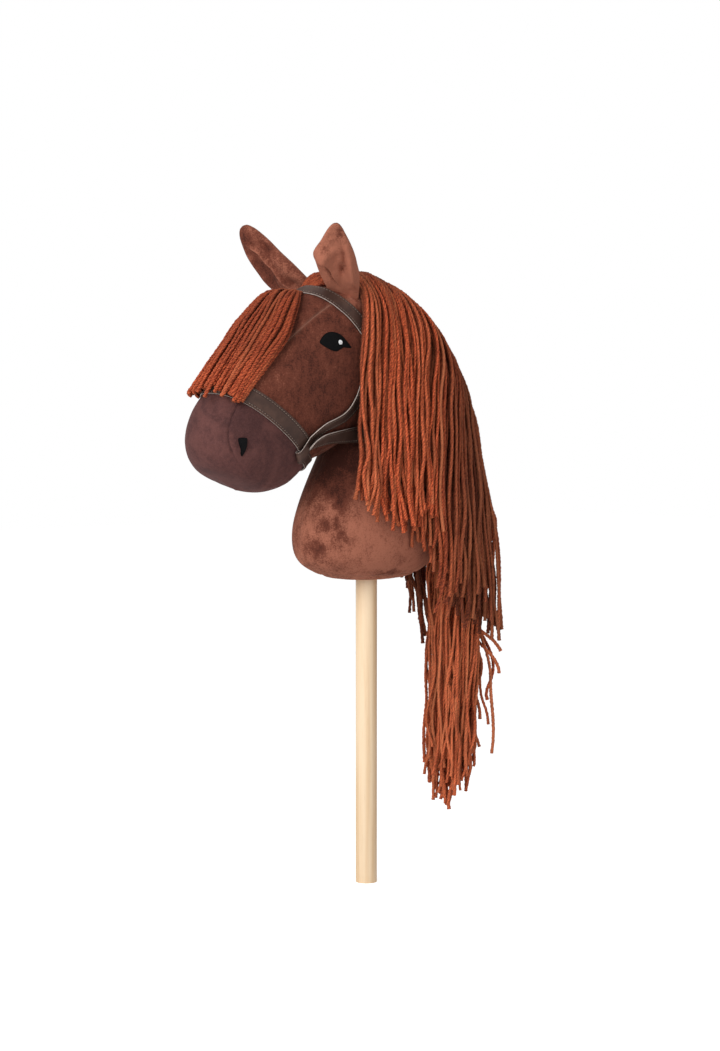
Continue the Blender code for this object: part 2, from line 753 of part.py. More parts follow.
def stitched_details(head, black, white):
    """Eyes, their glints and the nostrils, made on the left side and mirrored."""
    low, high = PATCH_LIFT, PATCH_LIFT + STITCHING
    eye_at = head.point(3.02, 19)
    along = np.array([0.0367, -0.0052, -0.0054])
    eye = patch("eye_left", eye_at, along, almond(EYE_LENGTH, EYE_ABOVE, EYE_BELOW), head, low, high, black)
    glint_at = head.point(2.88, 19)
    shine = patch("eye_glint_left", glint_at, along, circle(GLINT / 2), head,
                  high + CLEARANCE, high + CLEARANCE + STITCHING, white)
    nostril_at = head.point(7.62, 24)
    ahead = np.cross(head.normal(7.62, 24), np.array([0, 0, 1.0]))
    nostril = patch("nostril_left", nostril_at, ahead, teardrop(NOSTRIL_LENGTH, NOSTRIL_WIDTH),
                    head, low, high, black)
    for piece, name in ((eye, "eye_right"), (shine, "eye_glint_right"), (nostril, "nostril_right")):
        mirrored_object(piece, name)


def ear(side, head, neck, browband, plush):
    """One ear: a cupped leaf of plush with its lining, set on the corner of the skull."""
    hand = SIDES[side]
    forms = (head, neck)
    band = tree_of(browband)
    station, angle = EAR_ROOT
    root = head.point(station, angle if hand < 0 else 180 - angle)
    tall = np.array(EAR_REACH[side])
    tall /= np.linalg.norm(tall)
    turn = math.radians(EAR_TURN[side])
    facing = np.array([-math.cos(turn), hand * math.sin(turn), 0.0])
    facing -= tall * facing.dot(tall)
    facing /= np.linalg.norm(facing)
    wide = np.cross(tall, facing)
    half_thick = (EAR_LINING + CLEARANCE + EAR_BACK) / 2
    rows, columns = 10, 7
    points = np.zeros((rows, columns, 3))
    lows = []
    for row in range(rows):
        v = row / (rows - 1)
        half = EAR_WIDTH / 2 * ear_outline(v)
        cup = math.radians(75 - 45 * v)
        for column in range(columns):
            q = 2 * column / (columns - 1) - 1
            out = half * math.sin(q * cup) / math.sin(cup)
            deep = half * (math.cos(q * cup) - math.cos(cup)) / math.sin(cup) * 0.4
            foot = root + wide * out - facing * (deep - half_thick)
            if row == 0:
                lows.append(swing_height(foot, tall, facing, 2 * half_thick, (root, wide), forms, band))
            points[row, column] = foot + tall * (lows[column] + (EAR_LENGTH - lows[column]) * v)
    normals = sheet_normals(points)
    if (normals * facing).sum() < 0:
        normals = -normals
    back = -EAR_LINING - CLEARANCE
    pivot = bpy.data.objects.new(f"ear_{side}_pivot", None)
    pivot.location = Vector(root)
    bpy.context.scene.collection.objects.link(pivot)
    layers = [
        thick_sheet(f"ear_{side}_lining", points, normals, -EAR_LINING, 0, plush),
        thick_sheet(f"ear_{side}_back", points, normals, back - EAR_BACK, back, plush),
    ]
    for layer in layers:
        layer.parent = pivot
        layer.matrix_parent_inverse = Matrix.Translation(-pivot.location)
    return root, wide


def tree_of(obj):
    """A search tree of an object's own faces."""
    points = [v.co.copy() for v in obj.data.vertices]
    return BVHTree.FromPolygons(points, [tuple(face.vertices) for face in obj.data.polygons])


def swing_height(foot, tall, facing, thickness, axis, forms, band):
    """How high an ear's edge starts over the skull to swing to both stops without touching."""
    root, wide = axis
    height = skull_height(foot, tall, forms)
    turns = [Matrix.Rotation(math.radians(t), 3, Vector(wide)) for t in (-EAR_SWING, 0, EAR_SWING)]
    for _ in range(40):
        clear = True
        for back in (0, thickness / 2, thickness):
            arm = Vector(foot + tall * height - facing * back - root)
            for turn in turns:
                spot = turn @ arm + Vector(root)
                for form in forms:
                    nearest, normal, _, _ = form.tree.find_nearest(spot)
                    clear = clear and (spot - nearest).dot(normal) > EAR_GAP
                clear = clear and band.find_nearest(spot)[3] > 2 * EAR_GAP
        if clear:
            return height
        height += EAR_GAP
    return height


def skull_height(foot, tall, forms):
    """How far along tall the skull's surface lies from foot, looking down from above."""
    start = Vector(foot + tall * 0.030)
    heights = []
    for form in forms:
        hit = form.tree.ray_cast(start, Vector(-tall), 0.060)[0]
        if hit is not None:
            heights.append((np.array(hit) - foot).dot(tall))
    return max(heights, default=-0.012)


def ear_outline(v):
    """Half width of an ear, from its sewn base at 0 to its rounded tip at 1, as a share."""
    return float(np.interp(v, [0, 0.2, 0.4, 0.6, 0.7, 0.8, 0.9, 1.0],
                           [0.66, 0.76, 0.92, 1.0, 0.90, 0.73, 0.50, 0.18]))


def crest(neck, cotton):
    """The tape that the mane is sewn to, from the poll down the back of the neck."""
    up = np.array([0.0, 0.0, 1.0])
    top = neck.point(POLL_SEAM, 0)
    lift = 3 * CLEARANCE
    route = [(top - np.array([0.018, 0, 0]), up, lift), (top, up, lift)]
    route += on_form(neck, [(s, 0) for s in (9.3, 8.6, 8, 7.3, 6.6, 6, 5.5, CREST_LOW)], lift)
    strap("mane_tape", route, TAPE_WIDTH, (neck,), cotton, thickness=TAPE, snug=True)


def lock_points(guide, rows):
    """One guide line of the mane as evenly spaced points."""
    stops = []
    for stop in guide:
        x, share, height = (stop[0], 0, stop[1]) if len(stop) == 2 else stop
        y = min(share * NECK_WIDTH / 2, -LOCK_GAP / 2)
        stops.append(np.array([x, y, EXPOSED_POLE + height]))
    return smooth_line(stops, rows)[0]


def mane(head, neck, yarn):
    """Locks of yarn on both sides of the crest, and the part that hangs free behind the neck."""
    forms = (head, neck)
    rows, across = 12, 13
    lines = np.array([lock_points(guide, rows) for guide, _ in MANE_GUIDES])
    depths = np.array([np.interp(np.linspace(0, 1, rows), [0, 0.4, 1], d) for _, d in MANE_GUIDES])
    spots = np.linspace(0, len(MANE_GUIDES) - 1, across)
    thick = through_stations(depths, spots).T
    for side, hand in SIDES.items():
        hung = lines.copy()
        if side == "right":
            for line, (back, up) in zip(hung, RIGHT_TIPS):
                line += np.linspace(0, 1, rows)[:, None] ** 2 * np.array([back, 0, up])
        columns = through_stations(hung.reshape(len(hung), -1), spots).reshape(across, rows, 3)
        points = np.zeros((rows, across, 3))
        for column in range(across):
            for row in range(rows):
                spot = seated(columns[column, row], forms, LOCK_LIFT)
                points[row, column] = spot
        lift_between(points, forms, LOCK_LIFT - 4 * CLEARANCE)
        points[..., 1] = np.minimum(points[..., 1], -LOCK_GAP / 2)
        normals = sheet_normals(points)
        if normals[rows // 2, across // 2, 1] > 0:
            normals = -normals
        for column in range(across):
            up = neck_outward(points[0, column], neck)
            for row, share in ((0, 1.0), (1, 0.5), (2, 0.2)):
                blend = normals[row, column] * (1 - share) + up * share
                normals[row, column] = blend / np.linalg.norm(blend)
        flip = np.array([1, -hand, 1])
        for name, (first, last) in LOCKS.items():
            lock = points[:, first : last + 1].copy()
            for edge, beside in ((0, 1), (-1, -2)):
                step = lock[:, beside] - lock[:, edge]
                lock[:, edge] += step / np.linalg.norm(step, axis=1, keepdims=True) * LOCK_GAP / 2
            ways = normals[:, first : last + 1]
            depth = thick[:, first : last + 1, None]
            thick_sheet(f"mane_{name}_{side}", lock * flip, ways * flip, 0, depth, yarn)
    rings = []
    for height, x, depth, half in through_stations(TAIL_STATIONS, np.linspace(0, 8, 15)):
        ring = []
        for column in range(16):
            cosine, sine = rounded(360 * column / 16)
            ring.append(np.array([x + depth * cosine, -half * sine, EXPOSED_POLE + height]))
        rings.append(ring)
    Form(rings, np.linspace(0, 8, 15), 0).solid("mane_tail", 0, yarn)


def neck_outward(point, neck):
    """The way out from the neck at a point of the crest, without any sideways part."""
    nearest = neck.tree.find_nearest(Vector(point))[0]
    way = np.array(Vector(point) - nearest)
    way[1] = 0
    return way / np.linalg.norm(way)


def forelock(head, neck, yarn):
    """Yarn from the poll that falls over the browband and the forehead to the noseband."""
    rows, columns = 14, 7
    table = through_stations(FORELOCK, np.linspace(0, len(FORELOCK) - 1, rows))
    points = np.zeros((rows, columns, 3))
    depth = np.zeros((rows, columns, 1))
    for row, (station, near, far, thin, thick) in enumerate(table):
        for column in range(columns):
            share = column / (columns - 1)
            spot = head.point(station, near + (far - near) * share, FORELOCK_LIFT)
            points[row, column] = seated(spot, (head, neck), FORELOCK_LIFT)
            bulge = math.sin(math.pi * min(share * 0.75 + 0.1, 1.0))
            depth[row, column] = thin + (thick - thin) * bulge
    normals = sheet_normals(points)
    if normals[rows // 2, columns // 2, 2] < 0:
        normals = -normals
    thick_sheet("forelock", points, normals, 0, depth, yarn)


def build():
    clear_scene()
    wood = material("pale_wood", (0.80, 0.62, 0.42), 0.5)
    plush = material("brown_plush", (0.22, 0.075, 0.04), 0.9)
    suede = material("plum_suede", (0.13, 0.055, 0.052), 0.85)
    yarn = material("rust_yarn", (0.36, 0.065, 0.022), 0.85)
    leather = material("dark_strap", (0.045, 0.03, 0.024), 0.5)
    black = material("black_thread", (0.008, 0.009, 0.01), 0.6)
    white = material("white_thread", (0.85, 0.85, 0.85), 0.6)
    cotton = material("cotton_tape", (0.30, 0.08, 0.03), 0.9)
    fibre = material("fibre_filling", (0.85, 0.84, 0.80), 1.0)

    head, neck = head_form(), neck_form()
    pole_and_sleeve(wood, cotton)
    sewn_body(head, neck, plush, suede, fibre)
    browband = halter(head, neck, leather)
    stitched_details(head, black, white)
    for side in SIDES:
        ear(side, head, neck, browband, plush)
    crest(neck, cotton)
    mane(head, neck, yarn)
    forelock(head, neck, yarn)


build()
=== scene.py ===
"""The looks of a stuffed stick horse: plush skins, suede muzzle, strap halter, yarn mane, pale wooden pole.

The horse looks along -X, its left side is at -Y, and the middle of the pole's foot is the origin.
Head and neck are two rounded forms. A place on a form is a station along it and an angle round it.
"""

import math

import bmesh
import bpy
import numpy as np
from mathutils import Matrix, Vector, noise
from mathutils.bvhtree import BVHTree


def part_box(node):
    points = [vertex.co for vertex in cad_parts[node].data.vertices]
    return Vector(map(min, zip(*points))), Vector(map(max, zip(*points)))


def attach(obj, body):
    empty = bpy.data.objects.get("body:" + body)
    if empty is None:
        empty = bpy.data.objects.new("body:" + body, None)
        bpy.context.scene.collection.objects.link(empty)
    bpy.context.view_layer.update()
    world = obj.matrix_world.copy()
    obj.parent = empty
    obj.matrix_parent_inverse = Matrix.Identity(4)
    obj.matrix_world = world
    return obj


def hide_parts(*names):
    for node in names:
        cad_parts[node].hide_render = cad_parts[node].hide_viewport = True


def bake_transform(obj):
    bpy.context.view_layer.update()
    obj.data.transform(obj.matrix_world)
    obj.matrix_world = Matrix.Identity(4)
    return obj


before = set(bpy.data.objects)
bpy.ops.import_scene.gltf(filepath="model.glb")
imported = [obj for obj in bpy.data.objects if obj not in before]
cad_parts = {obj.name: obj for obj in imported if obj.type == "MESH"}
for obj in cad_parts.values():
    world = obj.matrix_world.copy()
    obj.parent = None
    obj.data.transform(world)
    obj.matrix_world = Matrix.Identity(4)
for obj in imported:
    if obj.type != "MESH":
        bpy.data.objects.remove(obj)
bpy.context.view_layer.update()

# The photograph's view: its angles, the point it looks at, and the size of one pixel there
VIEW_AZIMUTH = -40.0
VIEW_ELEVATION = 3.0
VIEW_DISTANCE = 2.5
VIEW_TARGET = (-0.0050, 0.0042, 0.3693)
VIEW_RIGHT = np.array([0.766, -0.643, 0.0])
PIXEL = 0.001028
IMAGE_HEIGHT = 1051
SENSOR = 36.0

# Light: how strong the surround is, how white the floor shows, its own shade and its half width
SURROUND_LIGHT = 0.34
FLOOR_WHITE = 1.01
FLOOR_SHADE = 0.82
FLOOR_HALF = 6.0
WHITE = (1, 1, 1, 1)
LAMP_TARGET = (0, 0, 0.40)
# Each lamp: azimuth, elevation, distance, size and power
LAMPS = {"key_lamp": (-74, 26, 2.4, 1.5, 44), "fill_lamp": (-22, 8, 2.6, 1.8, 9)}

# Driving sizes of the head and neck, the same as in the solid model
POLE_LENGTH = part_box("pole")[1].z
POLE_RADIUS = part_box("pole")[1].x
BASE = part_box("neck_base")[0].z
HEAD_WIDTH = 0.098
NECK_WIDTH = 0.104
SQUARENESS = 2.25
GUSSET_ANGLE = 41.54
JAW_ANGLE = 27.69

# Each head station: top and bottom as X and height above the neck's base, and the share of the width
HEAD_STATIONS = [
    (0.010, 0.278, 0.024, 0.232, 0.35),
    (-0.015, 0.291, 0.024, 0.205, 0.80),
    (-0.066, 0.297, -0.002, 0.172, 0.97),
    (-0.101, 0.282, -0.030, 0.150, 1.00),
    (-0.134, 0.257, -0.053, 0.135, 0.97),
    (-0.164, 0.229, -0.070, 0.127, 0.90),
    (-0.192, 0.198, -0.085, 0.121, 0.83),
    (-0.213, 0.170, -0.097, 0.111, 0.86),
    (-0.219, 0.141, -0.117, 0.098, 0.83),
    (-0.208, 0.119, -0.145, 0.092, 0.64),
    (-0.186, 0.104, -0.168, 0.094, 0.01),
]
FACE_START, FACE_END, MUZZLE_START, MUZZLE_END = 0.5, 5.99, 6.0, 10.0

# Each neck station: height above its base, front and back as X, and half width
POLE_HOLE = POLE_RADIUS + 0.0003
NECK_STATIONS = [
    (0.0000, -POLE_HOLE, POLE_HOLE, POLE_HOLE),
    (0.0000, -0.028, 0.032, 0.46 * NECK_WIDTH / 2),
    (0.0045, -0.053, 0.059, 0.62 * NECK_WIDTH / 2),
    (0.0195, -0.081, 0.084, 0.89 * NECK_WIDTH / 2),
    (0.0425, -0.089, 0.103, 1.00 * NECK_WIDTH / 2),
    (0.0765, -0.082, 0.114, 0.98 * NECK_WIDTH / 2),
    (0.1235, -0.058, 0.119, 0.92 * NECK_WIDTH / 2),
    (0.1845, -0.025, 0.109, 0.87 * NECK_WIDTH / 2),
    (0.2445, -0.022, 0.077, 0.79 * NECK_WIDTH / 2),
    (0.2865, -0.044, 0.034, 0.53 * NECK_WIDTH / 2),
    (0.3010, -0.034, 0.000, 0.01 * NECK_WIDTH / 2),
]
BASE_SEAM, POLL_SEAM = 2, 10
# The first and last station of the head and of the neck
FORM_ENDS = (0, 10)

# The seam between each side of the muzzle and the gusset over the nose
MUZZLE_SEAM = [
    (6.03, 48.5), (6.54, 46), (7.22, 44), (7.64, 40), (7.90, 35), (8.38, 23), (8.88, -2),
    (8.80, -25), (8.30, -42), (7.60, -52), (6.80, -59), (6.03, -62.3),
]

# Skin: its thickness, its seams, how uneven its stuffing is, and how far one form's skin goes into the other
SKIN = 0.0015
MUZZLE_SKIN = 0.0012
SKIN_LIFT = 0.0003
SEAM_DEPTH = 0.0010
SEAM_SPREAD = 0.0014
MUZZLE_SEAM_DEPTH = 0.0009
MUZZLE_SEAM_SPREAD = 0.0010
DENTS = 0.0005
JOIN_DEPTH = 0.003
HEART_OF_HEAD = (-0.08, 0.0, BASE + 0.21)
HEART_OF_MUZZLE = (-0.15, 0.0, BASE + 0.145)
HEART_OF_NECK = (0.02, 0.0, BASE + 0.10)

# Where the pile stands up round each ear's root
EAR_SEWN = np.array([-0.045, 0.031, 0.597])

# Patches of the neck where the pile is brushed down: middle and reach
RUBBED = [
    ((-0.064, 0.026, BASE + 0.080), (0.016, 0.018, 0.016)),
    ((-0.070, 0.027, BASE + 0.060), (0.014, 0.016, 0.014)),
    ((-0.060, 0.036, BASE + 0.046), (0.010, 0.012, 0.010)),
    ((-0.080, 0.020, BASE + 0.038), (0.008, 0.010, 0.009)),
    ((-0.002, 0.036, BASE + 0.007), (0.020, 0.018, 0.005)),
]

# Straps: thickness, eased edge, lift off the forms, spacing of their rows, lift over another strap, stitches
STRAP = 0.0016
STRAP_BEVEL = 0.0003
STRAP_LIFT = 0.0009
STRAP_SPACING = 0.0022
OVER_STRAP = STRAP_LIFT + STRAP + 0.0006
STITCH_INSET = 0.0021
STITCH_PITCH = 0.0031
STITCH_LENGTH = 0.0021
STITCH_RADIUS = 0.00028
# A stitch's rings: place along it and thickness, as shares
STITCH_RINGS = [(-0.5, 0.35), (-0.36, 0.9), (0.36, 0.9), (0.5, 0.35)]
# The finish that a face of a strap takes
LEATHER, CUT_EDGE, LINING = 0, 1, 2

# Each strap's width, and the left half of its way over the head or neck as stations and angles
NOSEBAND_WIDTH = 0.0185
NOSEBAND = [(6.10, -27), (6.03, -20), (5.97, 0), (5.98, 30), (6.04, 60), (6.10, 90)]
CHIN_STRAP_WIDTH = 0.013
CHIN_STRAP = [(6.62, -36), (6.50, -45), (6.42, -65), (6.40, -90)]
BROWBAND_WIDTH = 0.016
BROWBAND = [
    (1.86, 2), (1.94, 11), (2.00, 20), (2.07, 30), (2.14, 38), (2.25, 52), (2.37, 68), (2.46, 90),
]
HEADSTALL_WIDTH = 0.012
CHEEK_STRAP = [
    (5.52, -28), (5.12, -26), (4.70, -26), (4.25, -28), (3.84, -30), (3.48, -30), (3.16, -28),
    (2.88, -24), (2.50, -14), (2.15, -4), (1.80, 8), (1.50, 24), (1.32, 45),
]
CROWN_BACK = 0.006
REIN_WIDTH = 0.0155
REIN_ON_HEAD = [(6.04, -30), (5.62, -31), (5.10, -35), (4.36, -43)]
REIN_ON_NECK = [(6.42, 138), (6.46, 115), (6.5, 90), (6.58, 60), (6.68, 32)]
REIN_OVER_CREST = [(6.74, 12), (6.76, 0)]
TAPE_WIDTH = 0.012
TAPE_LIFT = 0.001
TAPE_OVER_POLL = (-0.018, 0.0)
TAPE_ON_NECK = [(station, 0) for station in (9.3, 8.6, 8, 7.3, 6.6, 6, 5.5, 5)]

# How far each strap leans off the skin at its first stops, in degrees
CHEEK_LEAN = [14, 20, 20, 18, 14, 10, 4]
REIN_LEAN = [40, 30, 16, 6]

# The headstall's rolled end at the corner of the mouth, and the rows that lead from it into the strap
ROLL_PLACE = (6.66, -25.0)
ROLL_LIFT = 0.0034
ROLL_DOWN = (0.42, 0.22, -0.88)
ROLL_NEAR = (-0.643, -0.766, 0.0)
ROLL_INNER = 0.0008
ROLL_OUTER = 0.0026
ROLL_THICKNESS = 0.0008
ROLL_ROWS = 30
ROLL_TURN = 430
LEAD_ROWS = 7
LEAD_PULL = 0.010

# Outlines of the embroidery, in millimetres along it and up
EYE = [
    (-18.2, -2.8), (-13.4, 5.2), (-7.5, 9.0), (-1.7, 9.8), (4.0, 8.9), (8.6, 6.6), (14.5, 2.0), (19.3, -2.5),
    (15.0, -3.6), (10.1, -3.8), (6.5, -6.3), (1.6, -9.3), (-3.5, -9.3), (-7.9, -8.2), (-13.5, -6.3),
]
NOSTRIL = [
    (-4.6, 6.6), (-3.0, 8.2), (2.6, 8.4), (4.8, 7.2), (4.4, 2.8), (2.7, -2.2), (2.6, -7.2), (1.4, -9.8),
    (-0.9, -7.2), (-3.6, -1.2),
]
# Where the embroidery and the pucker round each nostril lie on the head, and how thick it is
EYE_PLACE = (3.02, 19.0)
EYE_ALONG = np.array([0.0367, -0.0052, -0.0054])
GLINT_PLACE = (5.0, 0.35)
GLINT_RADIUS = 0.0024
NOSTRIL_PLACE = (7.62, 24.0)
PUCKER_PLACE = (7.60, 24.0)
PATCH_SKIN = 0.0006
THREADS_PER_METRE = 6000
# How far the middle and the edge of each patch stand up
EYE_HEIGHTS = (0.0013, 0.0004)
GLINT_HEIGHTS = (0.0022, 0.0016)
NOSTRIL_HEIGHTS = (0.0018, 0.0004)

# The pole: how far its ends are eased, and its sides and rings
POLE_RIM = 0.0004
POLE_SIDES = 96
POLE_RINGS = 60

# Yarn: half thickness, length of one turn of the plies, sides, rise of each layer, and lift off the skin
YARN_RADIUS = 0.0020
TAIL_RADIUS = 0.0018
YARN_PITCH = 0.0110
YARN_SIDES = 6
LAYER = 0.0032
LAYERS = 4
YARN_LIFT = 0.0048
ROOT_LIFT = 0.0026
# A direction that no strand starts along
ASKEW = (0.31, 0.95, 0.05)
LOCK_SEED, TAIL_SEED, FORELOCK_SEED = 11, 31, 47
LOCK_POINTS, TAIL_POINTS, FORELOCK_POINTS = 70, 90, 80

# Each lock of the mane: its span across the guide lines, strands in a layer, and rings in a strand
LOCKS = {"front": ((0.0, 1.33), 15, 230), "middle": ((1.33, 2.67), 12, 280), "back": ((2.67, 4.0), 12, 300)}
# Clumps that the strands hang in from one guide line to the next, and the middle that the crest bends round
CLUMPS = 3.1
CREST_CENTRE = (0.030, 0, BASE + 0.190)
# How much shorter the outer strands of each side are over the shoulder, as a share
CROPPED = {"left": 0.19, "right": 0.0}

# The left side of the mane, from the crest to the cut ends, as X, Y and height above the neck's base
MANE_GUIDES = [
    [(-0.016, 0.000, 0.302), (-0.036, -0.030, 0.286), (-0.051, -0.050, 0.248), (-0.055, -0.053, 0.200),
     (-0.054, -0.053, 0.140), (-0.058, -0.053, 0.084)],
    [(0.016, 0.000, 0.297), (0.008, -0.034, 0.270), (-0.002, -0.048, 0.225), (-0.006, -0.055, 0.160),
     (-0.005, -0.057, 0.100), (0.000, -0.056, 0.050)],
    [(0.062, 0.000, 0.260), (0.050, -0.033, 0.235), (0.040, -0.050, 0.180), (0.034, -0.058, 0.110),
     (0.034, -0.060, 0.050), (0.036, -0.058, 0.010)],
    [(0.094, 0.000, 0.218), (0.090, -0.028, 0.195), (0.084, -0.044, 0.140), (0.078, -0.054, 0.080),
     (0.076, -0.057, 0.020), (0.078, -0.055, -0.025)],
    [(0.108, 0.000, 0.188), (0.112, -0.022, 0.160), (0.118, -0.036, 0.110), (0.123, -0.044, 0.060),
     (0.128, -0.049, 0.000), (0.137, -0.049, -0.060)],
]
# How far each guide's tip moves back and up on the right side, which hangs shorter
RIGHT_TIPS = [(0.046, 0.064), (0.024, 0.042), (0.004, 0.030), (0.000, 0.060), (0.000, -0.010)]

# The tail of the mane: height, middle X, half depth, half width
TAIL_STATIONS = [
    (0.158, 0.1256, 0.008, 0.012),
    (0.130, 0.1380, 0.015, 0.022),
    (0.090, 0.1400, 0.019, 0.030),
    (0.050, 0.1350, 0.030, 0.036),
    (0.000, 0.1270, 0.034, 0.038),
    (-0.060, 0.1215, 0.027, 0.030),
    (-0.130, 0.1205, 0.026, 0.027),
    (-0.190, 0.1175, 0.025, 0.026),
    (-0.245, 0.1135, 0.026, 0.026),
]
TAIL_STRANDS, TAIL_RINGS, TAIL_PARTS = 159, 300, 3
# How much of its width the tail fills, and the turn from one strand's place in it to the next, in radians
TAIL_FILL = 0.93
SPIRAL_TURN = 2.39996

# The forelock: head station, near and far edge as angles
FORELOCK = [
    (1.35, 88, 98), (1.62, 80, 102), (1.90, 76, 106), (2.18, 82, 110), (2.52, 86, 116), (2.84, 79, 124),
    (3.20, 68, 132), (3.70, 58, 136), (4.20, 50, 138), (4.80, 47, 137), (5.40, 45, 135), (6.42, 43, 131),
]
FORELOCK_STRANDS, FORELOCK_RINGS = 22, 170

# Each ear's outline on its own plane, in millimetres: height over the root, left edge and right edge
EAR_OUTLINES = {
    "left": [
        (-20, -12.0, 11.5), (-10, -14.0, 13.0), (0, -15.5, 14.0), (12, -17.5, 15.8), (27, -21.5, 17.0),
        (38, -23.6, 16.1), (47, -24.9, 15.4), (56, -26.3, 14.2), (63, -24.0, 12.8), (73, -17.4, 10.3),
        (82, -12.4, 7.6), (88, -8.8, 5.8), (92.5, -5.4, 3.8), (94.8, -2.6, 1.8),
    ],
    "right": [
        (-20, -13.0, 11.0), (-10, -15.0, 12.0), (0, -19.0, 12.5), (12, -24.0, 11.8), (25, -28.5, 11.3),
        (35, -30.8, 10.8), (45, -31.4, 9.8), (56, -29.9, 8.9), (67, -28.1, 8.6), (77, -25.3, 7.6),
        (86, -20.9, 6.0), (93, -16.8, 3.6), (97.5, -12.6, 0.8), (99.8, -8.6, -3.4),
    ],
}
# Soft hills and hollows of each ear's face: right, up, reach right, reach up, height, and change of the pile,
# which is painted shade in the hollows and painted highlight on the hills, besides dark nap near the tips
EAR_RELIEF = {
    "left": [
        (10.5, 36, 4.6, 30, 3.0, 0.08), (0.6, 36, 2.8, 7.5, -2.4, -0.36), (3.6, 50, 1.8, 12, -1.4, -0.24),
        (-3.5, 52, 5.0, 12, -0.8, 0.04),
        (-17.0, 57, 9.0, 9, 2.6, 0.05), (-14.0, 20, 5.0, 12, 0.8, 0.00), (2.5, 84, 4.0, 10, -0.4, -0.60),
        (-13.0, 67, 5.0, 5, 0.3, -0.45), (-6.0, 76, 4.0, 4, 0.4, -0.35), (-5.0, 62, 6.0, 6, 0.8, 0.05),
    ],
    "right": [
        (-21.0, 50, 8.0, 24, -1.8, -0.46), (1.0, 40, 7.0, 18, 1.5, 0.22), (0.0, 66, 4.5, 8, -1.5, -0.34),
        (-4.0, 70, 2.0, 8, 1.2, 0.14), (-17.0, 30, 3.0, 9, 1.2, 0.12), (-12.0, 90, 9.0, 9, 0.3, -0.44),
        (-24.0, 70, 3.0, 5, 1.0, 0.15), (-27.0, 46, 3.0, 4, 0.9, 0.12), (-4.0, 22, 4.0, 6, -1.2, -0.20),
        (6.0, 20, 3.0, 9, 0.9, 0.12),
    ],
}
# A line on each ear's face, as right, up and height: the near ear's folded edge, and the far ear's ridge
EAR_LINES = {
    "left": [
        (-30.0, 51.0, 3.8), (-24.5, 51.5, 3.8), (-17.0, 49.0, 3.6), (-12.4, 41.0, 3.0), (-9.6, 29.0, 2.2),
        (-5.6, 16.0, 0.6),
    ],
    "right": [
        (-15.9, 89.0, 0.6), (-12.5, 77.6, 1.6), (-9.7, 67.5, 2.0), (-10.9, 58.0, 2.0), (-10.4, 49.0, 2.0),
        (-12.0, 36.3, 1.8), (-12.4, 24.6, 1.6), (-9.7, 15.5, 1.0),
    ],
}
# The lie of the pile on each ear's face and back, and how far the face's relief stands out on both
EAR_BASE_LIE = {"left": 1.12, "right": 0.56}
EAR_BACK_LIE = 0.55
EAR_DEPTH = 2.1
EAR_BACK_DEPTH = 0.45
# Where an ear is sewn on, which way each reaches, and how far its face turns, in degrees
EAR_ROOT = (1.78, 57.0)
EAR_REACH = {"left": (-0.049, -0.046, 0.064), "right": (-0.048, 0.047, 0.073)}
EAR_TURN = {"left": 46.0, "right": -4.0}
EAR_ROWS, EAR_COLUMNS = 150, 120

UP = np.array([0.0, 0.0, 1.0])
MIRROR = np.array([1.0, -1.0, 1.0])
HAND = {"left": -1, "right": 1}


def unit(vectors):
    return vectors / np.maximum(np.linalg.norm(vectors, axis=-1, keepdims=True), 1e-12)


def ease(values):
    """0 at 0 and 1 at 1, with soft ends."""
    values = np.clip(values, 0, 1)
    return values * values * (3 - 2 * values)


def climb(values, start, reach):
    """0 up to the start, and then softly up to 1 over the reach."""
    return ease((values - start) / reach)


def hill(values, reach, power=2):
    """1 at 0, falling away on both sides. A higher power gives a flatter top."""
    return np.exp(-((values / reach) ** power))


def carried_on(rows):
    """The rows with one more at each end, which goes straight on."""
    return np.concatenate([[2 * rows[0] - rows[1]], rows, [2 * rows[-1] - rows[-2]]])


def curve_between(before, here, there, after, t):
    """Points of a smooth curve from here to there, at t from 0 to 1."""
    return 0.5 * (
        2 * here
        + (there - before) * t
        + (2 * before - 5 * here + 4 * there - after) * t**2
        + (3 * here - before - 3 * there + after) * t**3
    )


def through(table, places):
    """Rows read from a smooth curve through the table's rows, at any array of row numbers."""
    known = np.asarray(table, float)
    rows = carried_on(known)
    places = np.asarray(places, float)
    start = np.clip(np.floor(places).astype(int), 0, len(known) - 2)
    t = (places - start).reshape(places.shape + (1,) * (known.ndim - 1))
    return curve_between(*(rows[start + k] for k in range(4)), t)


class Form:
    """A rounded body, read at stations along it and angles round it in degrees.

    Side is 1 or -1, so that its normals look out.
    """

    def __init__(self, read, side):
        self.read = read
        self.side = side

    def normals(self, stations, angles):
        along = self.read(stations + 0.03, angles) - self.read(stations - 0.03, angles)
        around = self.read(stations, angles + 1.0) - self.read(stations, angles - 1.0)
        return unit(np.cross(along, around)) * self.side

    def at(self, stations, angles, lift=0.0):
        stations, angles = np.broadcast_arrays(np.asarray(stations, float), np.asarray(angles, float))
        return self.read(stations, angles) + self.normals(stations, angles) * np.asarray(lift)[..., None]

    def tree(self, stations, rows=90, columns=120):
        """A search tree of the plain form."""
        places = np.meshgrid(np.linspace(*stations, rows), np.linspace(0, 360, columns), indexing="ij")
        grid = self.read(*places)
        points = grid.reshape(-1, 3)
        faces = grid_faces(rows, columns)
        sample = points[faces[len(faces) // 2]]
        normal = np.cross(sample[1] - sample[0], sample[2] - sample[0])
        if normal.dot(sample[0] - grid[rows // 2].mean(axis=0)) < 0:
            faces = faces[:, ::-1]
        return BVHTree.FromPolygons(points.tolist(), faces.tolist())


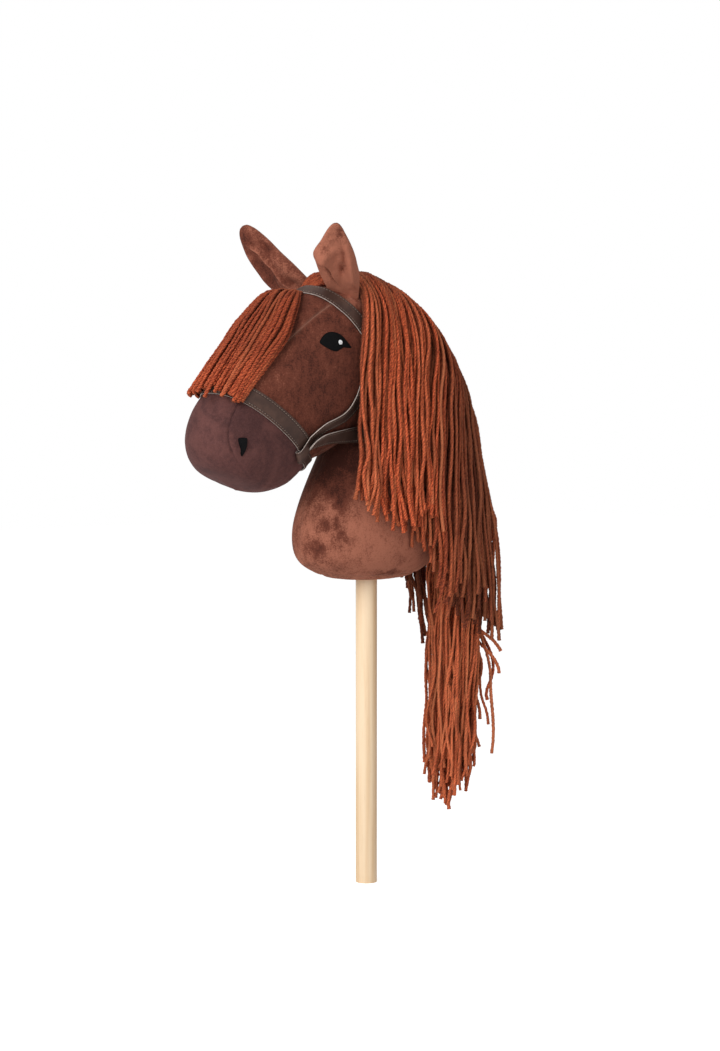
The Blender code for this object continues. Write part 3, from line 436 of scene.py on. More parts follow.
def read_head(stations, angles):
    top_x, top_z, low_x, low_z, share = np.moveaxis(through(HEAD_STATIONS, stations), -1, 0)
    turn = np.radians(angles)
    power = 2 / SQUARENESS
    cosine, sine = (np.sign(v) * np.abs(v) ** power for v in (np.cos(turn), np.sin(turn)))
    x = (top_x + low_x) / 2 + (top_x - low_x) / 2 * sine
    z = BASE + (top_z + low_z) / 2 + (top_z - low_z) / 2 * sine
    return np.stack([x, -HEAD_WIDTH / 2 * share * cosine, z], axis=-1)


def read_neck(stations, angles):
    height, front, back, half = np.moveaxis(through(NECK_STATIONS, stations), -1, 0)
    turn = np.radians(angles)
    x = (front + back) / 2 + (back - front) / 2 * np.cos(turn)
    return np.stack([x, -half * np.sin(turn), BASE + np.maximum(height, 0)], axis=-1)


def grid_faces(rows, columns, closed=False):
    """Four-sided faces of a grid of points. Closed joins its last column to its first."""
    r, c = np.meshgrid(np.arange(rows - 1), np.arange(columns if closed else columns - 1), indexing="ij")
    after = (c + 1) % columns
    corners = (r * columns + c, r * columns + after, (r + 1) * columns + after, (r + 1) * columns + c)
    return np.stack(corners, axis=-1).reshape(-1, 4)


def add_mesh(name, points, faces, finishes, marks=None, slots=None):
    """An object from points and lists of faces, where each list has one number of corners.

    Marks are values for each point that the finishes read, and slots say which finish each face takes.
    """
    mesh = bpy.data.meshes.new(name)
    faces = [np.asarray(group) for group in faces if len(group)]
    corners = np.concatenate([group.ravel() for group in faces]).astype(np.int32)
    sizes = np.concatenate([np.full(len(group), group.shape[1]) for group in faces])
    mesh.vertices.add(len(points))
    mesh.vertices.foreach_set("co", np.asarray(points, np.float32).ravel())
    mesh.loops.add(len(corners))
    mesh.loops.foreach_set("vertex_index", corners)
    mesh.polygons.add(len(sizes))
    mesh.polygons.foreach_set("loop_start", np.concatenate([[0], np.cumsum(sizes)[:-1]]).astype(np.int32))
    for finish in finishes:
        mesh.materials.append(finish)
    if slots is not None:
        mesh.polygons.foreach_set("material_index", np.asarray(slots, np.int32))
    mesh.update(calc_edges=True)
    mesh.validate()
    mesh.shade_smooth()
    for key, values in (marks or {}).items():
        mark = mesh.attributes.new(key, "FLOAT", "POINT")
        mark.data.foreach_set("value", np.asarray(values, np.float32).ravel())
    made = bpy.data.objects.new(name, mesh)
    bpy.context.scene.collection.objects.link(made)
    return made


def set_in_place(obj, body, slot, *nodes):
    """The piece rides on a body and stands for solids. Its slot is not used."""
    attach(obj, body)
    if nodes:
        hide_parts(*nodes)
    return obj


def height_over(tree, point):
    """(height over the surface, nearest point, its outward direction)."""
    nearest, normal, _, _ = tree.find_nearest(point)
    return (point - nearest).dot(normal), nearest, normal


def seated(points, trees, lift):
    """Points moved out until each is at least its lift over every surface."""
    flat = points.reshape(-1, 3)
    lifts = np.broadcast_to(lift, points.shape[:-1]).ravel()
    moved = flat.copy()
    for index, (spot, least) in enumerate(zip(flat, lifts)):
        spot = Vector(spot)
        for _ in range(2):
            for tree in trees:
                height, nearest, normal = height_over(tree, spot)
                if height < least:
                    spot = nearest + normal * float(least)
        moved[index] = spot
    return moved.reshape(points.shape)


def line_lengths(points):
    """Distance along a line of points from its first."""
    steps = np.linalg.norm(np.diff(points, axis=0), axis=-1)
    return np.concatenate([np.zeros((1,) + steps.shape[1:]), np.cumsum(steps, axis=0)])


def read_along(values, lengths, spots):
    """Rows of values read at spots along a line, where lengths say how far along each row lies."""
    return np.stack([np.interp(spots, lengths, column) for column in values.T], axis=1)


def by_length(stops, samples):
    """Places on a smooth line through stops, and the line's length up to each."""
    places = np.linspace(0, len(stops) - 1, samples)
    return places, line_lengths(through(stops, places))


def evenly(stops, spacing, *others):
    """A smooth line through stops, evenly spaced, with the other lists read at the same places."""
    places, lengths = by_length(stops, 24 * len(stops))
    count = max(3, round(lengths[-1] / spacing) + 1)
    places = np.interp(np.linspace(0, lengths[-1], count), lengths, places)
    return [through(values, places) for values in (stops, *others)]


class Socket:
    """One output of a shader node. Sums and products of sockets add the Math nodes that work them out."""

    def __init__(self, nodes, output):
        self.nodes = nodes
        self.output = output

    def maths(self, operation, first, second=0.0):
        return self.nodes.node("ShaderNodeMath", {"operation": operation}, {0: first, 1: second})

    def __add__(self, other):
        return self.maths("ADD", self, other)

    __radd__ = __add__

    def __mul__(self, other):
        return self.maths("MULTIPLY", self, other)

    __rmul__ = __mul__

    def __sub__(self, other):
        return self.maths("SUBTRACT", self, other)

    def __rsub__(self, other):
        return self.maths("SUBTRACT", other, self)

    def __pow__(self, other):
        return self.maths("POWER", self, other)

    def most(self, other):
        return self.maths("MAXIMUM", self, other)

    def sine(self):
        return self.maths("SINE", self)


class Nodes:
    """The shader nodes of one material, or of the world."""

    def __init__(self, owner):
        owner.use_nodes = True
        self.owner = owner
        self.tree = owner.node_tree

    def node(self, kind, settings=None, sockets=None, output=0):
        """Adds a node with its settings, then its sockets' values or links, and gives one of its outputs."""
        made = self.tree.nodes.new(kind)
        for key, value in (settings or {}).items():
            setattr(made, key, value)
        for key, value in (sockets or {}).items():
            if isinstance(value, Socket):
                self.tree.links.new(value.output, made.inputs[key])
            else:
                made.inputs[key].default_value = value
        return Socket(self, made.outputs[output])

    def link(self, value, name, socket):
        """Links a value to a node that is there from the start, and gives back the nodes' owner."""
        self.tree.links.new(value.output, self.tree.nodes[name].inputs[socket])
        return self.owner


class Finish(Nodes):
    """A material in the making, which ends in its Principled shader."""

    def __init__(self, name, roughness=0.8, **constants):
        super().__init__(bpy.data.materials.new(name))
        for socket, value in {"Roughness": roughness, **constants}.items():
            self.tree.nodes["Principled BSDF"].inputs[socket.replace("_", " ")].default_value = value

    def mark(self, name):
        """A value that the piece's own mesh carries."""
        return self.node("ShaderNodeAttribute", {"attribute_name": name}, output="Fac")

    def place(self, stretch=(1, 1, 1), turn=(0, 0, 0)):
        """Where a point lies on the piece, in metres, stretched along the three axes."""
        spot = self.node("ShaderNodeTexCoord", output="Object")
        return self.node("ShaderNodeMapping", None, {"Vector": spot, "Rotation": turn, "Scale": stretch})

    def clouds(self, scale, place=None, detail=2.0, roughness=0.5, distortion=0.0):
        sockets = {"Vector": place or self.place(), "Scale": scale, "Detail": detail,
                   "Roughness": roughness, "Distortion": distortion}
        return self.node("ShaderNodeTexNoise", None, sockets)

    def span(self, value, low, high):
        """0 where the value is at low or under, 1 at high or over."""
        sockets = {"Value": value, "From Min": low, "From Max": high}
        return self.node("ShaderNodeMapRange", {"interpolation_type": "SMOOTHSTEP"}, sockets)

    def mix(self, share, first, second):
        """A colour between two, by a share from 0 to 1."""
        names = {"Factor": share, 6: first, 7: second}
        return self.node("ShaderNodeMix", {"data_type": "RGBA"}, names, output=2)

    def bump(self, height, distance, strength):
        """A surface that stands up by so much, in metres, where the height is 1."""
        sockets = {"Height": height, "Distance": distance, "Strength": strength}
        return self.node("ShaderNodeBump", None, sockets)

    def wear(self, **ends):
        """Links values to the shader's sockets and gives back the material."""
        for socket, value in ends.items():
            self.link(value, "Principled BSDF", socket.replace("_", " "))
        return self.owner


def ink(red, green, blue):
    """A colour given as it looks on a screen, 0 to 255, turned to the shader's light values."""
    values = [v / 255 for v in (red, green, blue)]
    return tuple(v / 12.92 if v <= 0.04045 else ((v + 0.055) / 1.055) ** 2.4 for v in values) + (1.0,)


def brushed_plush(name, dark, mid, lit):
    """Short-pile plush. A mark on its mesh says which way the pile is brushed, from dark to lit; on the neck
    and ears it also holds painted shade and highlight.
    """
    finish = Finish(name, 0.9, Sheen_Weight=0.16, Sheen_Roughness=0.4, Sheen_Tint=ink(205, 150, 125),
                    Specular_IOR_Level=0.2)
    wide = finish.clouds(16, detail=3, roughness=0.55, distortion=0.4)
    blots = finish.clouds(60, detail=4, roughness=0.6, distortion=0.8)
    streaks = finish.clouds(210, finish.place((1.0, 1.0, 0.35), (0, 0.4, 0)), detail=3, roughness=0.65)
    pile = finish.clouds(1700, detail=1)
    value = finish.mark("lie_and_shade") + (wide - 0.5) * 0.75 + (blots - 0.5) * 0.75 + (streaks - 0.5) * 0.60
    tufts = finish.clouds(640, detail=2, roughness=0.6)
    value = value + (pile - 0.5) * 0.5 + (tufts - 0.5) * 0.9
    colour = finish.mix(finish.span(value, -0.05, 0.45), dark, mid)
    colour = finish.mix(finish.span(value, 0.40, 1.05), colour, lit)
    colour = finish.mix(finish.mark("seam") * 0.55, colour, ink(176, 128, 108))
    height = pile * 0.5 + streaks * 0.3 + tufts * 0.7
    return finish.wear(Base_Color=colour, Normal=finish.bump(height, 0.0009, 0.6))


def muzzle_suede():
    """Dark suede with a mottled nap. The mark "seam" says where it is drawn in and darker."""
    finish = Finish("muzzle_suede", 0.85, Sheen_Weight=0.10, Sheen_Roughness=0.5,
                    Sheen_Tint=ink(190, 150, 150), Specular_IOR_Level=0.2)
    wide = finish.clouds(26, detail=4, roughness=0.6, distortion=0.8)
    fine = finish.clouds(900, detail=2)
    grain = finish.clouds(240, detail=3, roughness=0.7)
    colour = finish.mix(finish.span(wide * 0.7 + grain * 0.3, 0.36, 0.64), ink(66, 38, 37), ink(95, 58, 54))
    colour = finish.mix(finish.span(fine, 0.35, 0.8) * 0.15, colour, ink(134, 94, 92))
    colour = finish.mix(finish.mark("seam") * 0.7, colour, ink(44, 22, 24))
    height = fine * 0.6 + grain * 0.5
    return finish.wear(Base_Color=colour, Normal=finish.bump(height, 0.0004, 0.4))


def mane_yarn():
    """Plied yarn, from rust to brown.

    Its mesh says where a ply stands up, which lightens the crests and darkens the valleys as painted
    highlight and shade; how far a strand is browned, as painted shade and random tone; how much painted
    highlight it takes; how much painted shade it takes for lying under other strands; and how deep between
    strands a side of it lies, which takes painted shade.
    """
    finish = Finish("rust_yarn", 0.85, Sheen_Weight=0.26, Sheen_Roughness=0.35, Sheen_Tint=ink(235, 150, 110),
                    Specular_IOR_Level=0.2)
    fibres = finish.clouds(1700, detail=2, roughness=0.7)
    fuzz = finish.clouds(640, detail=3, roughness=0.75)
    length = finish.clouds(70, detail=2)
    # Ply crests lighter and valleys darker: painted highlight and painted shade, mixed with the fibres' own
    # grain.
    ply = finish.span(finish.mark("ply") * 0.60 + (fibres - 0.5) * 1.4 + (fuzz - 0.41) * 2.4, 0.0, 1.0)
    rust = finish.mix(ply, ink(128, 40, 23), ink(243, 118, 72))
    brown = finish.mix(ply, ink(62, 24, 16), ink(140, 72, 47))
    # Brown stands for painted shade at the back and roots of the mane, and for random tone.
    colour = finish.mix(finish.mark("faded"), rust, brown)
    # Painted highlight: a pale yarn colour, mixed in by the light mark.
    colour = finish.mix(finish.mark("light") * 0.42, colour, ink(234, 146, 100))
    colour = finish.mix(finish.span(length, 0.40, 0.75) * 0.30, colour, ink(104, 36, 20))
    # Painted shade for strands that lie under others.
    colour = finish.mix(finish.mark("covered_shade") * 0.65, colour, ink(62, 20, 12))
    # Painted shade on the sides of strands that face into the mane.
    colour = finish.mix(finish.mark("deep") * 0.85, colour, ink(44, 13, 8))
    height = fibres * 0.7 + fuzz * 0.8
    return finish.wear(Base_Color=colour, Normal=finish.bump(height, 0.0007, 0.7))


def strap_leather():
    """Dark leather. The mark "across" is 0 at the strap's middle and 1 at its edge, where a groove runs."""
    finish = Finish("strap_leather", 0.5, Specular_IOR_Level=0.3)
    grain = finish.clouds(1100, detail=3, roughness=0.6)
    wide = finish.clouds(60, detail=3, roughness=0.6)
    across = finish.mark("across")
    groove = finish.span(across, 0.60, 0.70) * (1 - finish.span(across, 0.76, 0.88))
    colour = finish.mix(finish.span(wide, 0.35, 0.70), ink(60, 41, 34), ink(80, 57, 48))
    colour = finish.mix(groove * 0.5, colour, ink(34, 23, 19))
    colour = finish.mix(finish.span(across, 0.90, 1.0) * 0.35, colour, ink(98, 78, 68))
    rough = 0.50 + grain * 0.25
    height = grain * 0.35 - groove * 1.4
    return finish.wear(Base_Color=colour, Roughness=rough, Normal=finish.bump(height, 0.0003, 0.6))


def raw_edge():
    """The strap's cut edge, where the pale backing shows."""
    finish = Finish("raw_edge", 0.8)
    fray = finish.clouds(700, detail=3, roughness=0.7)
    colour = finish.mix(finish.span(fray, 0.30, 0.70), ink(146, 132, 124), ink(204, 190, 182))
    return finish.wear(Base_Color=colour, Normal=finish.bump(fray, 0.0003, 0.5))


def strap_lining():
    """The strap's dark underside."""
    finish = Finish("strap_lining", 0.9)
    nap = finish.clouds(900, detail=3)
    colour = finish.mix(finish.span(nap, 0.3, 0.7), ink(26, 19, 17), ink(42, 33, 29))
    return finish.wear(Base_Color=colour, Normal=finish.bump(nap, 0.0003, 0.4))


def twisted_thread(name, colour, dark):
    """Sewing thread."""
    finish = Finish(name, 0.6)
    twist = finish.clouds(2600, detail=1)
    return finish.wear(Base_Color=finish.mix(finish.span(twist, 0.35, 0.7), dark, colour),
                       Normal=finish.bump(twist, 0.0002, 0.5))


def satin_stitch(name, colour, gleam, roughness):
    """Embroidery: threads laid side by side across the patch."""
    finish = Finish(name, roughness, Specular_IOR_Level=0.08)
    across = finish.mark("thread")
    wander = finish.clouds(300, detail=2)
    ridge = (across * 2.0 + wander * 3.0).sine() * 0.5 + 0.5
    colour = finish.mix(ridge ** 2.0 * 0.6, colour, gleam)
    return finish.wear(Base_Color=colour, Normal=finish.bump(ridge, 0.0003, 0.7))


def pale_wood():
    """Pale planed wood with long, faint grain."""
    finish = Finish("pale_wood", 0.48)
    long_grain = finish.clouds(90, finish.place((1, 1, 0.035)), detail=5, roughness=0.6, distortion=0.5)
    pores = finish.clouds(900, finish.place((1, 1, 0.04)), detail=2, roughness=0.7)
    wide = finish.clouds(9, finish.place((1, 1, 0.25)), detail=2)
    colour = finish.mix(finish.span(long_grain, 0.38, 0.66), ink(246, 219, 184), ink(233, 198, 155))
    colour = finish.mix(finish.span(pores, 0.60, 0.80) * 0.35, colour, ink(205, 165, 120))
    colour = finish.mix(finish.span(wide, 0.45, 0.75) * 0.25, colour, ink(240, 208, 165))
    rough = 0.42 + pores * 0.18
    height = long_grain + pores * 0.4
    return finish.wear(Base_Color=colour, Roughness=rough, Normal=finish.bump(height, 0.0002, 0.25))


def woven_cotton():
    """Plain-woven tape: threads both ways."""
    finish = Finish("woven_cotton", 0.9)
    warp, weft = (finish.clouds(1300, finish.place(stretch), detail=1)
                  for stretch in ((1, 0.12, 1), (0.12, 1, 1)))
    weave = warp * 0.5 + weft * 0.5
    colour = finish.mix(finish.span(weave, 0.4, 0.6), ink(96, 40, 24), ink(132, 58, 34))
    return finish.wear(Base_Color=colour, Normal=finish.bump(weave, 0.0004, 0.6))


def loose_fibre():
    """Pale stuffing."""
    finish = Finish("loose_fibre", 1.0)
    tufts = finish.clouds(160, detail=4, roughness=0.7, distortion=1.0)
    colour = finish.mix(finish.span(tufts, 0.3, 0.7), ink(214, 212, 204), ink(246, 245, 240))
    return finish.wear(Base_Color=colour, Normal=finish.bump(tufts, 0.002, 0.8))


class Finishes:
    """Every finish of the horse."""

    def __init__(self):
        self.plush = brushed_plush("brown_plush", ink(64, 30, 22), ink(106, 56, 42), ink(170, 106, 84))
        self.suede = muzzle_suede()
        self.yarn = mane_yarn()
        self.leather = strap_leather()
        self.edge = raw_edge()
        self.lining = strap_lining()
        self.stitching = twisted_thread("stitching_thread", ink(150, 130, 116), ink(96, 78, 68))
        self.black = satin_stitch("black_thread", ink(1, 1, 2), ink(8, 8, 9), 0.6)
        self.white = satin_stitch("white_thread", ink(236, 236, 236), ink(255, 255, 255), 0.5)
        self.wood = pale_wood()
        self.cotton = woven_cotton()
        self.fibre = loose_fibre()


def edge_spaced(count):
    """Numbers from 0 to 1 that lie closer together near both ends, for a fine seam there."""
    t = np.linspace(0, 1, count)
    return t - 0.8 * np.sin(2 * np.pi * t) / (2 * np.pi)


def dents(points, size, depth):
    """Soft, uneven stuffing: how far each point stands out."""
    heights = [noise.noise(Vector(p) / size) for p in points.reshape(-1, 3)]
    return np.array(heights).reshape(points.shape[:-1]) * depth


def from_edges(points, seams):
    """Distance of each point of a grid from the nearest sewn edge."""
    across = np.moveaxis(line_lengths(np.moveaxis(points, 1, 0)), 0, 1)
    along = line_lengths(points)
    gaps = [across, across[:, -1:] - across, along, along[-1:] - along]
    sewn = [gap for gap, seam in zip(gaps, seams) if seam]
    return np.minimum.reduce(sewn) if sewn else np.full(points.shape[:2], 1.0)


def lie_on_head(points):
    """The pile lies smooth and dark on the head, lighter towards the nose and where the ears are sewn on."""
    near = points * (1, 0, 1) + np.abs(points) * (0, 1, 0) - EAR_SEWN
    ruffled = np.exp(-(near**2).sum(axis=-1) / 0.014**2)
    return 0.30 + 0.12 * climb(-points[..., 0], 0.10, 0.08) + 0.7 * ruffled


def lie_and_shade_on_neck(points):
    """The pile of the neck stands lit, and is brushed the other way in a patch on each side of the throat;
    its top is darkened as painted shadow under the jaw.
    """
    depth = points.copy()
    depth[..., 1] = np.abs(depth[..., 1])
    rubbed = np.zeros(points.shape[:-1])
    for spot, size in RUBBED:
        away = (depth - spot) / size
        rubbed = np.maximum(rubbed, np.exp(-(away**2).sum(axis=-1)))
    rubbed = rubbed * ease(0.62 + 0.9 * dents(points, 0.013, 1.0) + 0.5 * dents(points, 0.004, 1.0))
    lit = 0.80 + 0.12 * climb(points[..., 0], -0.07, 0.06)
    # Painted shadow under the jaw: darker towards the top of the neck.
    return lit - 0.68 * rubbed - 0.85 * climb(points[..., 2] - BASE, 0.068, 0.055)


def skin(name, form, stations, angles, counts, seams, finish, hidden_in, lie_and_shade, shown=1.0):
    """A sewn skin over part of a form.

    Seams say which sides are sewn: first angle, last angle, first station, last station. Faces that
    sit deep inside the form hidden_in are left out. The lie function works out the pile's lie and any
    painted shade, and shown says how plainly the seams show.
    """
    spread = edge_spaced(counts[0]) if seams[2] else np.linspace(0, 1, counts[0])
    rows = stations[0] + (stations[1] - stations[0]) * spread
    columns = angles[0] + (angles[1] - angles[0]) * edge_spaced(counts[1])
    s, a = np.meshgrid(rows, columns, indexing="ij")
    plain = form.at(s, a)
    gap = from_edges(plain, seams)
    lift = SKIN_LIFT - SEAM_DEPTH * np.exp(-gap / SEAM_SPREAD)
    lift += dents(plain, 0.034, DENTS) * ease(gap / 0.01)
    pull = dents(plain, 0.006, 0.0012) * np.exp(-gap / 0.006)
    flat = form.at(s, a, lift + pull).reshape(-1, 3)
    faces = grid_faces(*counts)
    deep = np.zeros(len(faces), bool)
    if hidden_in:
        inside = np.array([height_over(hidden_in, Vector(p))[0] < -JOIN_DEPTH for p in flat])
        deep = inside[faces].all(axis=1)
    marks = {"seam": shown * np.exp(-gap / 0.0008), "lie_and_shade": lie_and_shade(plain)}
    made = add_mesh(name, flat, [faces[~deep]], [finish], marks)
    drop_loose(made)
    thicken(made, SKIN)
    return made


def drop_loose(obj):
    """Removes the points that no face uses."""
    shape = bmesh.new()
    shape.from_mesh(obj.data)
    loose = [v for v in shape.verts if not v.link_faces]
    if loose:
        bmesh.ops.delete(shape, geom=loose, context="VERTS")
        shape.to_mesh(obj.data)
    shape.free()


def thicken(obj, depth):
    """Gives a sheet its thickness, inward."""
    cloth = obj.modifiers.new("thickness", "SOLIDIFY")
    cloth.thickness = depth
    cloth.offset = -1


def facing(obj, face, outward):
    """Turns all faces round if the given one looks the other way."""
    if obj.data.polygons[face].normal.dot(Vector(outward)) < 0:
        obj.data.flip_normals()


def facing_out(obj, middle):
    """Turns the faces round if they look towards the middle."""
    face = len(obj.data.polygons) // 2
    facing(obj, face, obj.data.polygons[face].center - Vector(middle))
    return obj


def plush_skins(head, neck, trees, finishes):
    """The panels of the head, from browband to muzzle seam, and those of the neck."""
    top, jaw = 90 - GUSSET_ANGLE, -90 + JAW_ANGLE
    face = (FACE_START, FACE_END)
    panels = [
        ("forehead_gusset", (top, 180 - top), (200, 76)),
        ("cheek_left", (jaw, top), (200, 84)),
        ("cheek_right", (180 - top, 180 - jaw), (200, 84)),
        ("jaw_gusset", (180 - jaw, 360 + jaw), (200, 52)),
    ]
    for name, angles, counts in panels:
        made = skin("plush_" + name, head, face, angles, counts, (True, True, False, True), finishes.plush,
                    trees[1], lie_on_head)
        set_in_place(facing_out(made, HEART_OF_HEAD), "horse", "brown_plush", name)
    for side, angles in {"left": (0, 180), "right": (180, 360)}.items():
        made = skin("plush_neck_" + side, neck, (BASE_SEAM, POLL_SEAM), angles, (210, 120),
                    (True, True, True, False), finishes.plush, trees[0], lie_and_shade_on_neck, 0.3)
        set_in_place(facing_out(made, HEART_OF_NECK), "horse", "brown_plush", "neck_" + side)
    made = skin("plush_neck_base", neck, (0, BASE_SEAM), (0, 360), (40, 200), (False, False, False, True),
                finishes.plush, None, lie_and_shade_on_neck)
    set_in_place(facing_out(made, HEART_OF_NECK), "horse", "brown_plush", "neck_base")


def distance_to_line(points, line):
    """How far each point lies from a line of points."""
    best = np.full(points.shape[:-1], 1.0)
    for start, end in zip(line[:-1], line[1:]):
        step = end - start
        share = np.clip(((points - start) @ step) / step.dot(step), 0, 1)
        best = np.minimum(best, np.linalg.norm(points - start - share[..., None] * step, axis=-1))
    return best


def muzzle(head, finishes):
    """The suede muzzle in one skin, with the seam on both sides drawn in and a pucker at each nostril."""
    rows, columns = 150, 300
    along = MUZZLE_START + (MUZZLE_END - MUZZLE_START) * np.linspace(0, 1, rows) ** 0.9
    s, a = np.meshgrid(along, np.linspace(0, 360, columns, endpoint=False), indexing="ij")
    plain = head.read(s, a)
    seam = head.at(*np.array(evenly(MUZZLE_SEAM, 0.5)[0]).T)
    gap = np.minimum(distance_to_line(plain, seam), distance_to_line(plain, seam * MIRROR))
    shown = 0.15 + 0.85 * climb(plain[..., 2] - BASE, 0.118, 0.024)
    lift = SKIN_LIFT - MUZZLE_SEAM_DEPTH * shown * hill(gap, MUZZLE_SEAM_SPREAD) + dents(plain, 0.030, DENTS)
    lift += dents(plain, 0.007, 0.0008) * np.exp(-gap / 0.007)
    pucker = head.at(*PUCKER_PLACE)
    for spot in (pucker, pucker * MIRROR):
        away = np.linalg.norm(plain - spot, axis=-1)
        lift -= 0.0010 * hill(away, 0.011)
        lift += dents(plain, 0.005, 0.0010) * hill(away, 0.013)
    points = head.at(s, a, lift)
    count = rows * columns
    last = np.arange(columns) + count - columns
    cap = np.stack([last, np.roll(last, -1), np.full(columns, count)], axis=1)
    flat = np.concatenate([points.reshape(-1, 3), [points[-1].mean(axis=0)]])
    marks = {"seam": np.concatenate([(shown * hill(gap, 0.0006)).ravel(), [0]])}
    made = add_mesh("suede_muzzle", flat, [grid_faces(rows, columns, True), cap], [finishes.suede], marks)
    thicken(made, MUZZLE_SKIN)
    facing_out(made, HEART_OF_MUZZLE)
    set_in_place(made, "horse", "plum_suede", "muzzle_gusset", "muzzle_left", "muzzle_right")


class Strap:
    """A flat strap on the forms, with its cut edges, underside and two rows of stitching.

    Its route is a list of stops, each a point, its outward direction and its lift over the forms. Lean
    is how far it leans off the skin, in degrees, at its first stops and at its last. Pale says which of
    its cut edges show the pale backing, as a painted highlight on the edge that catches the light: the
    low one and the high one. An edge that is not pale takes the dark leather.
    """

    def __init__(self, name, route, width, trees, lean=(), pale=(False, True)):
        self.name, self.width, self.pale = name, width, pale
        spots, outward = (np.array([stop[k] for stop in route], float) for k in range(2))
        lifts = np.array([[stop[2]] for stop in route])
        leans = np.zeros((len(route), 1))
        leans[:len(lean), 0] = lean
        leans[len(route) - len(lean):, 0] = lean[::-1]
        line, outward, lifts, leans = evenly(spots, STRAP_SPACING, outward, lifts, leans)
        tangent = unit(np.gradient(line, axis=0))
        outward = unit(outward - tangent * (outward * tangent).sum(axis=1, keepdims=True))
        side = np.cross(outward, tangent)
        tilt = np.radians(leans)
        bevel = 1 - 2 * STRAP_BEVEL / width
        self.offsets = np.array([-1, -bevel, -0.66, -0.33, 0, 0.33, 0.66, bevel, 1]) * width / 2
        grid = np.stack([line + side * o * np.cos(tilt) + outward * (o + width / 2) * np.sin(tilt)
                         for o in self.offsets], axis=1)
        self.grid = seated(grid, trees, lifts)
        self.thick = np.full(len(grid), STRAP)
        self.outward = outward
        self.trim = 0

    def lead_in(self, rows, tangent, thickness):
        """Puts rows of points before the strap's own, and the mirrored rows after them."""
        t = (np.arange(1, LEAD_ROWS + 1) / (LEAD_ROWS + 1))[:, None, None]
        onward = -unit(self.grid[0] - self.grid[1]) * LEAD_PULL
        joined = ((2 * t**3 - 3 * t**2 + 1) * rows[-1] + (t**3 - 2 * t**2 + t) * tangent * LEAD_PULL
                  + (3 * t**2 - 2 * t**3) * self.grid[0] + (t**3 - t**2) * onward)
        lead = np.concatenate([rows, joined])
        thick = np.concatenate([np.full(len(rows), thickness), thickness + (STRAP - thickness) * t[:, 0, 0]])
        self.grid = np.concatenate([lead, self.grid, lead[::-1] * MIRROR])
        self.thick = np.concatenate([thick, self.thick, thick[::-1]])
        self.outward = np.pad(self.outward, ((len(lead), len(lead)), (0, 0)))
        self.trim = len(lead) - 2

    def finished(self):
        """Works out the strap's normals once its rows are complete."""
        normals = unit(np.cross(np.gradient(self.grid, axis=0), np.gradient(self.grid, axis=1)))
        self.normals = normals if (normals[:, 4] * self.outward).sum() > 0 else -normals

    def body(self, finishes):
        """The strap itself: outer face, cut edges and underside."""
        g, n = self.grid, self.normals
        thick = self.thick[:, None]
        high = [g[:, -1] + n[:, -1] * (thick - STRAP_BEVEL), g[:, -1] + n[:, -1] * thick * 0.25, g[:, -1]]
        low = [g[:, 0], g[:, 0] + n[:, 0] * thick * 0.25, g[:, 0] + n[:, 0] * (thick - STRAP_BEVEL)]
        outer = [g[:, k] + n[:, k] * thick for k in range(1, 8)]
        inner = [g[:, k] for k in range(7, 0, -1)]
        ring = np.stack([*outer, *high, *inner, *low], axis=1)
        rows, columns = ring.shape[:2]
        edge = [self.width / 2] * 3
        across = np.abs([*self.offsets[1:8], *edge, *self.offsets[7:0:-1], *edge]) / (self.width / 2)
        # Only the edge chosen as pale shows the pale backing, a painted highlight where light catches it; the
        # other edge takes the leather.
        low_edge, high_edge = (CUT_EDGE if pale else LEATHER for pale in self.pale)
        place = [LEATHER] * 7 + [high_edge] + [LINING] * 10 + [low_edge, LEATHER]
        slots = np.concatenate([np.tile(place, rows - 1), [CUT_EDGE] * 2])
        marks = {"across": np.tile(across, rows)}
        made = add_mesh(self.name, ring.reshape(-1, 3), tube_faces(1, rows, columns),
                        [finishes.leather, finishes.edge, finishes.lining], marks, slots)
        middle = rows // 2
        facing(made, middle * columns + 3, n[middle, 4])
        made.data.set_sharp_from_angle(angle=math.radians(40))
        return made

    def stitches(self, finish, skip=0.004):
        """Short stitches in a row along each edge."""
        rows = []
        shown = slice(self.trim, len(self.grid) - self.trim)
        for offset in (-self.width / 2 + STITCH_INSET, self.width / 2 - STITCH_INSET):
            share = np.interp(offset, self.offsets, np.arange(9))
            low = int(share)
            row = self.grid[:, low] + (self.grid[:, low + 1] - self.grid[:, low]) * (share - low)
            row, normal = row[shown], unit(self.normals[shown, low])
            lengths = line_lengths(row)
            spots = skip + STITCH_PITCH * np.arange(int((lengths[-1] - 2 * skip) / STITCH_PITCH))
            middle, along, away = (read_along(values, lengths, spots)
                                   for values in (row + normal * STRAP, np.gradient(row, axis=0), normal))
            rows.append((middle, unit(along), unit(away)))
        laid = [np.concatenate(part) for part in zip(*rows)]
        return laid_stitches(self.name + "_stitching", *laid, finish)


def tube_faces(tubes, rings, sides):
    """Faces of tubes with closed ends, whose points follow one another, ring by ring."""
    count = rings * sides
    base = np.arange(tubes)[:, None, None] * count
    ends = np.array([np.arange(sides)[::-1], np.arange(sides) + count - sides])
    walls = grid_faces(rings, sides, True)
    return [(walls[None] + base).reshape(-1, 4), (ends[None] + base).reshape(-1, sides)]


def laid_stitches(name, middle, along, out, finish, sides=6):
    """One small rounded stitch at each middle, lying along its direction."""
    side = unit(np.cross(out, along))
    points = []
    for reach, share in STITCH_RINGS:
        sink = -STITCH_RADIUS * 0.8 * (share < 0.5)
        radius = STITCH_RADIUS * share
        for turn in np.radians(np.arange(sides) * 360 / sides):
            points.append(middle + along * reach * STITCH_LENGTH + side * math.cos(turn) * radius * 1.3
                          + out * (math.sin(turn) * radius + sink))
    faces = tube_faces(len(middle), len(STITCH_RINGS), sides)
    return add_mesh(name, np.stack(points, axis=1).reshape(-1, 3), faces, [finish])


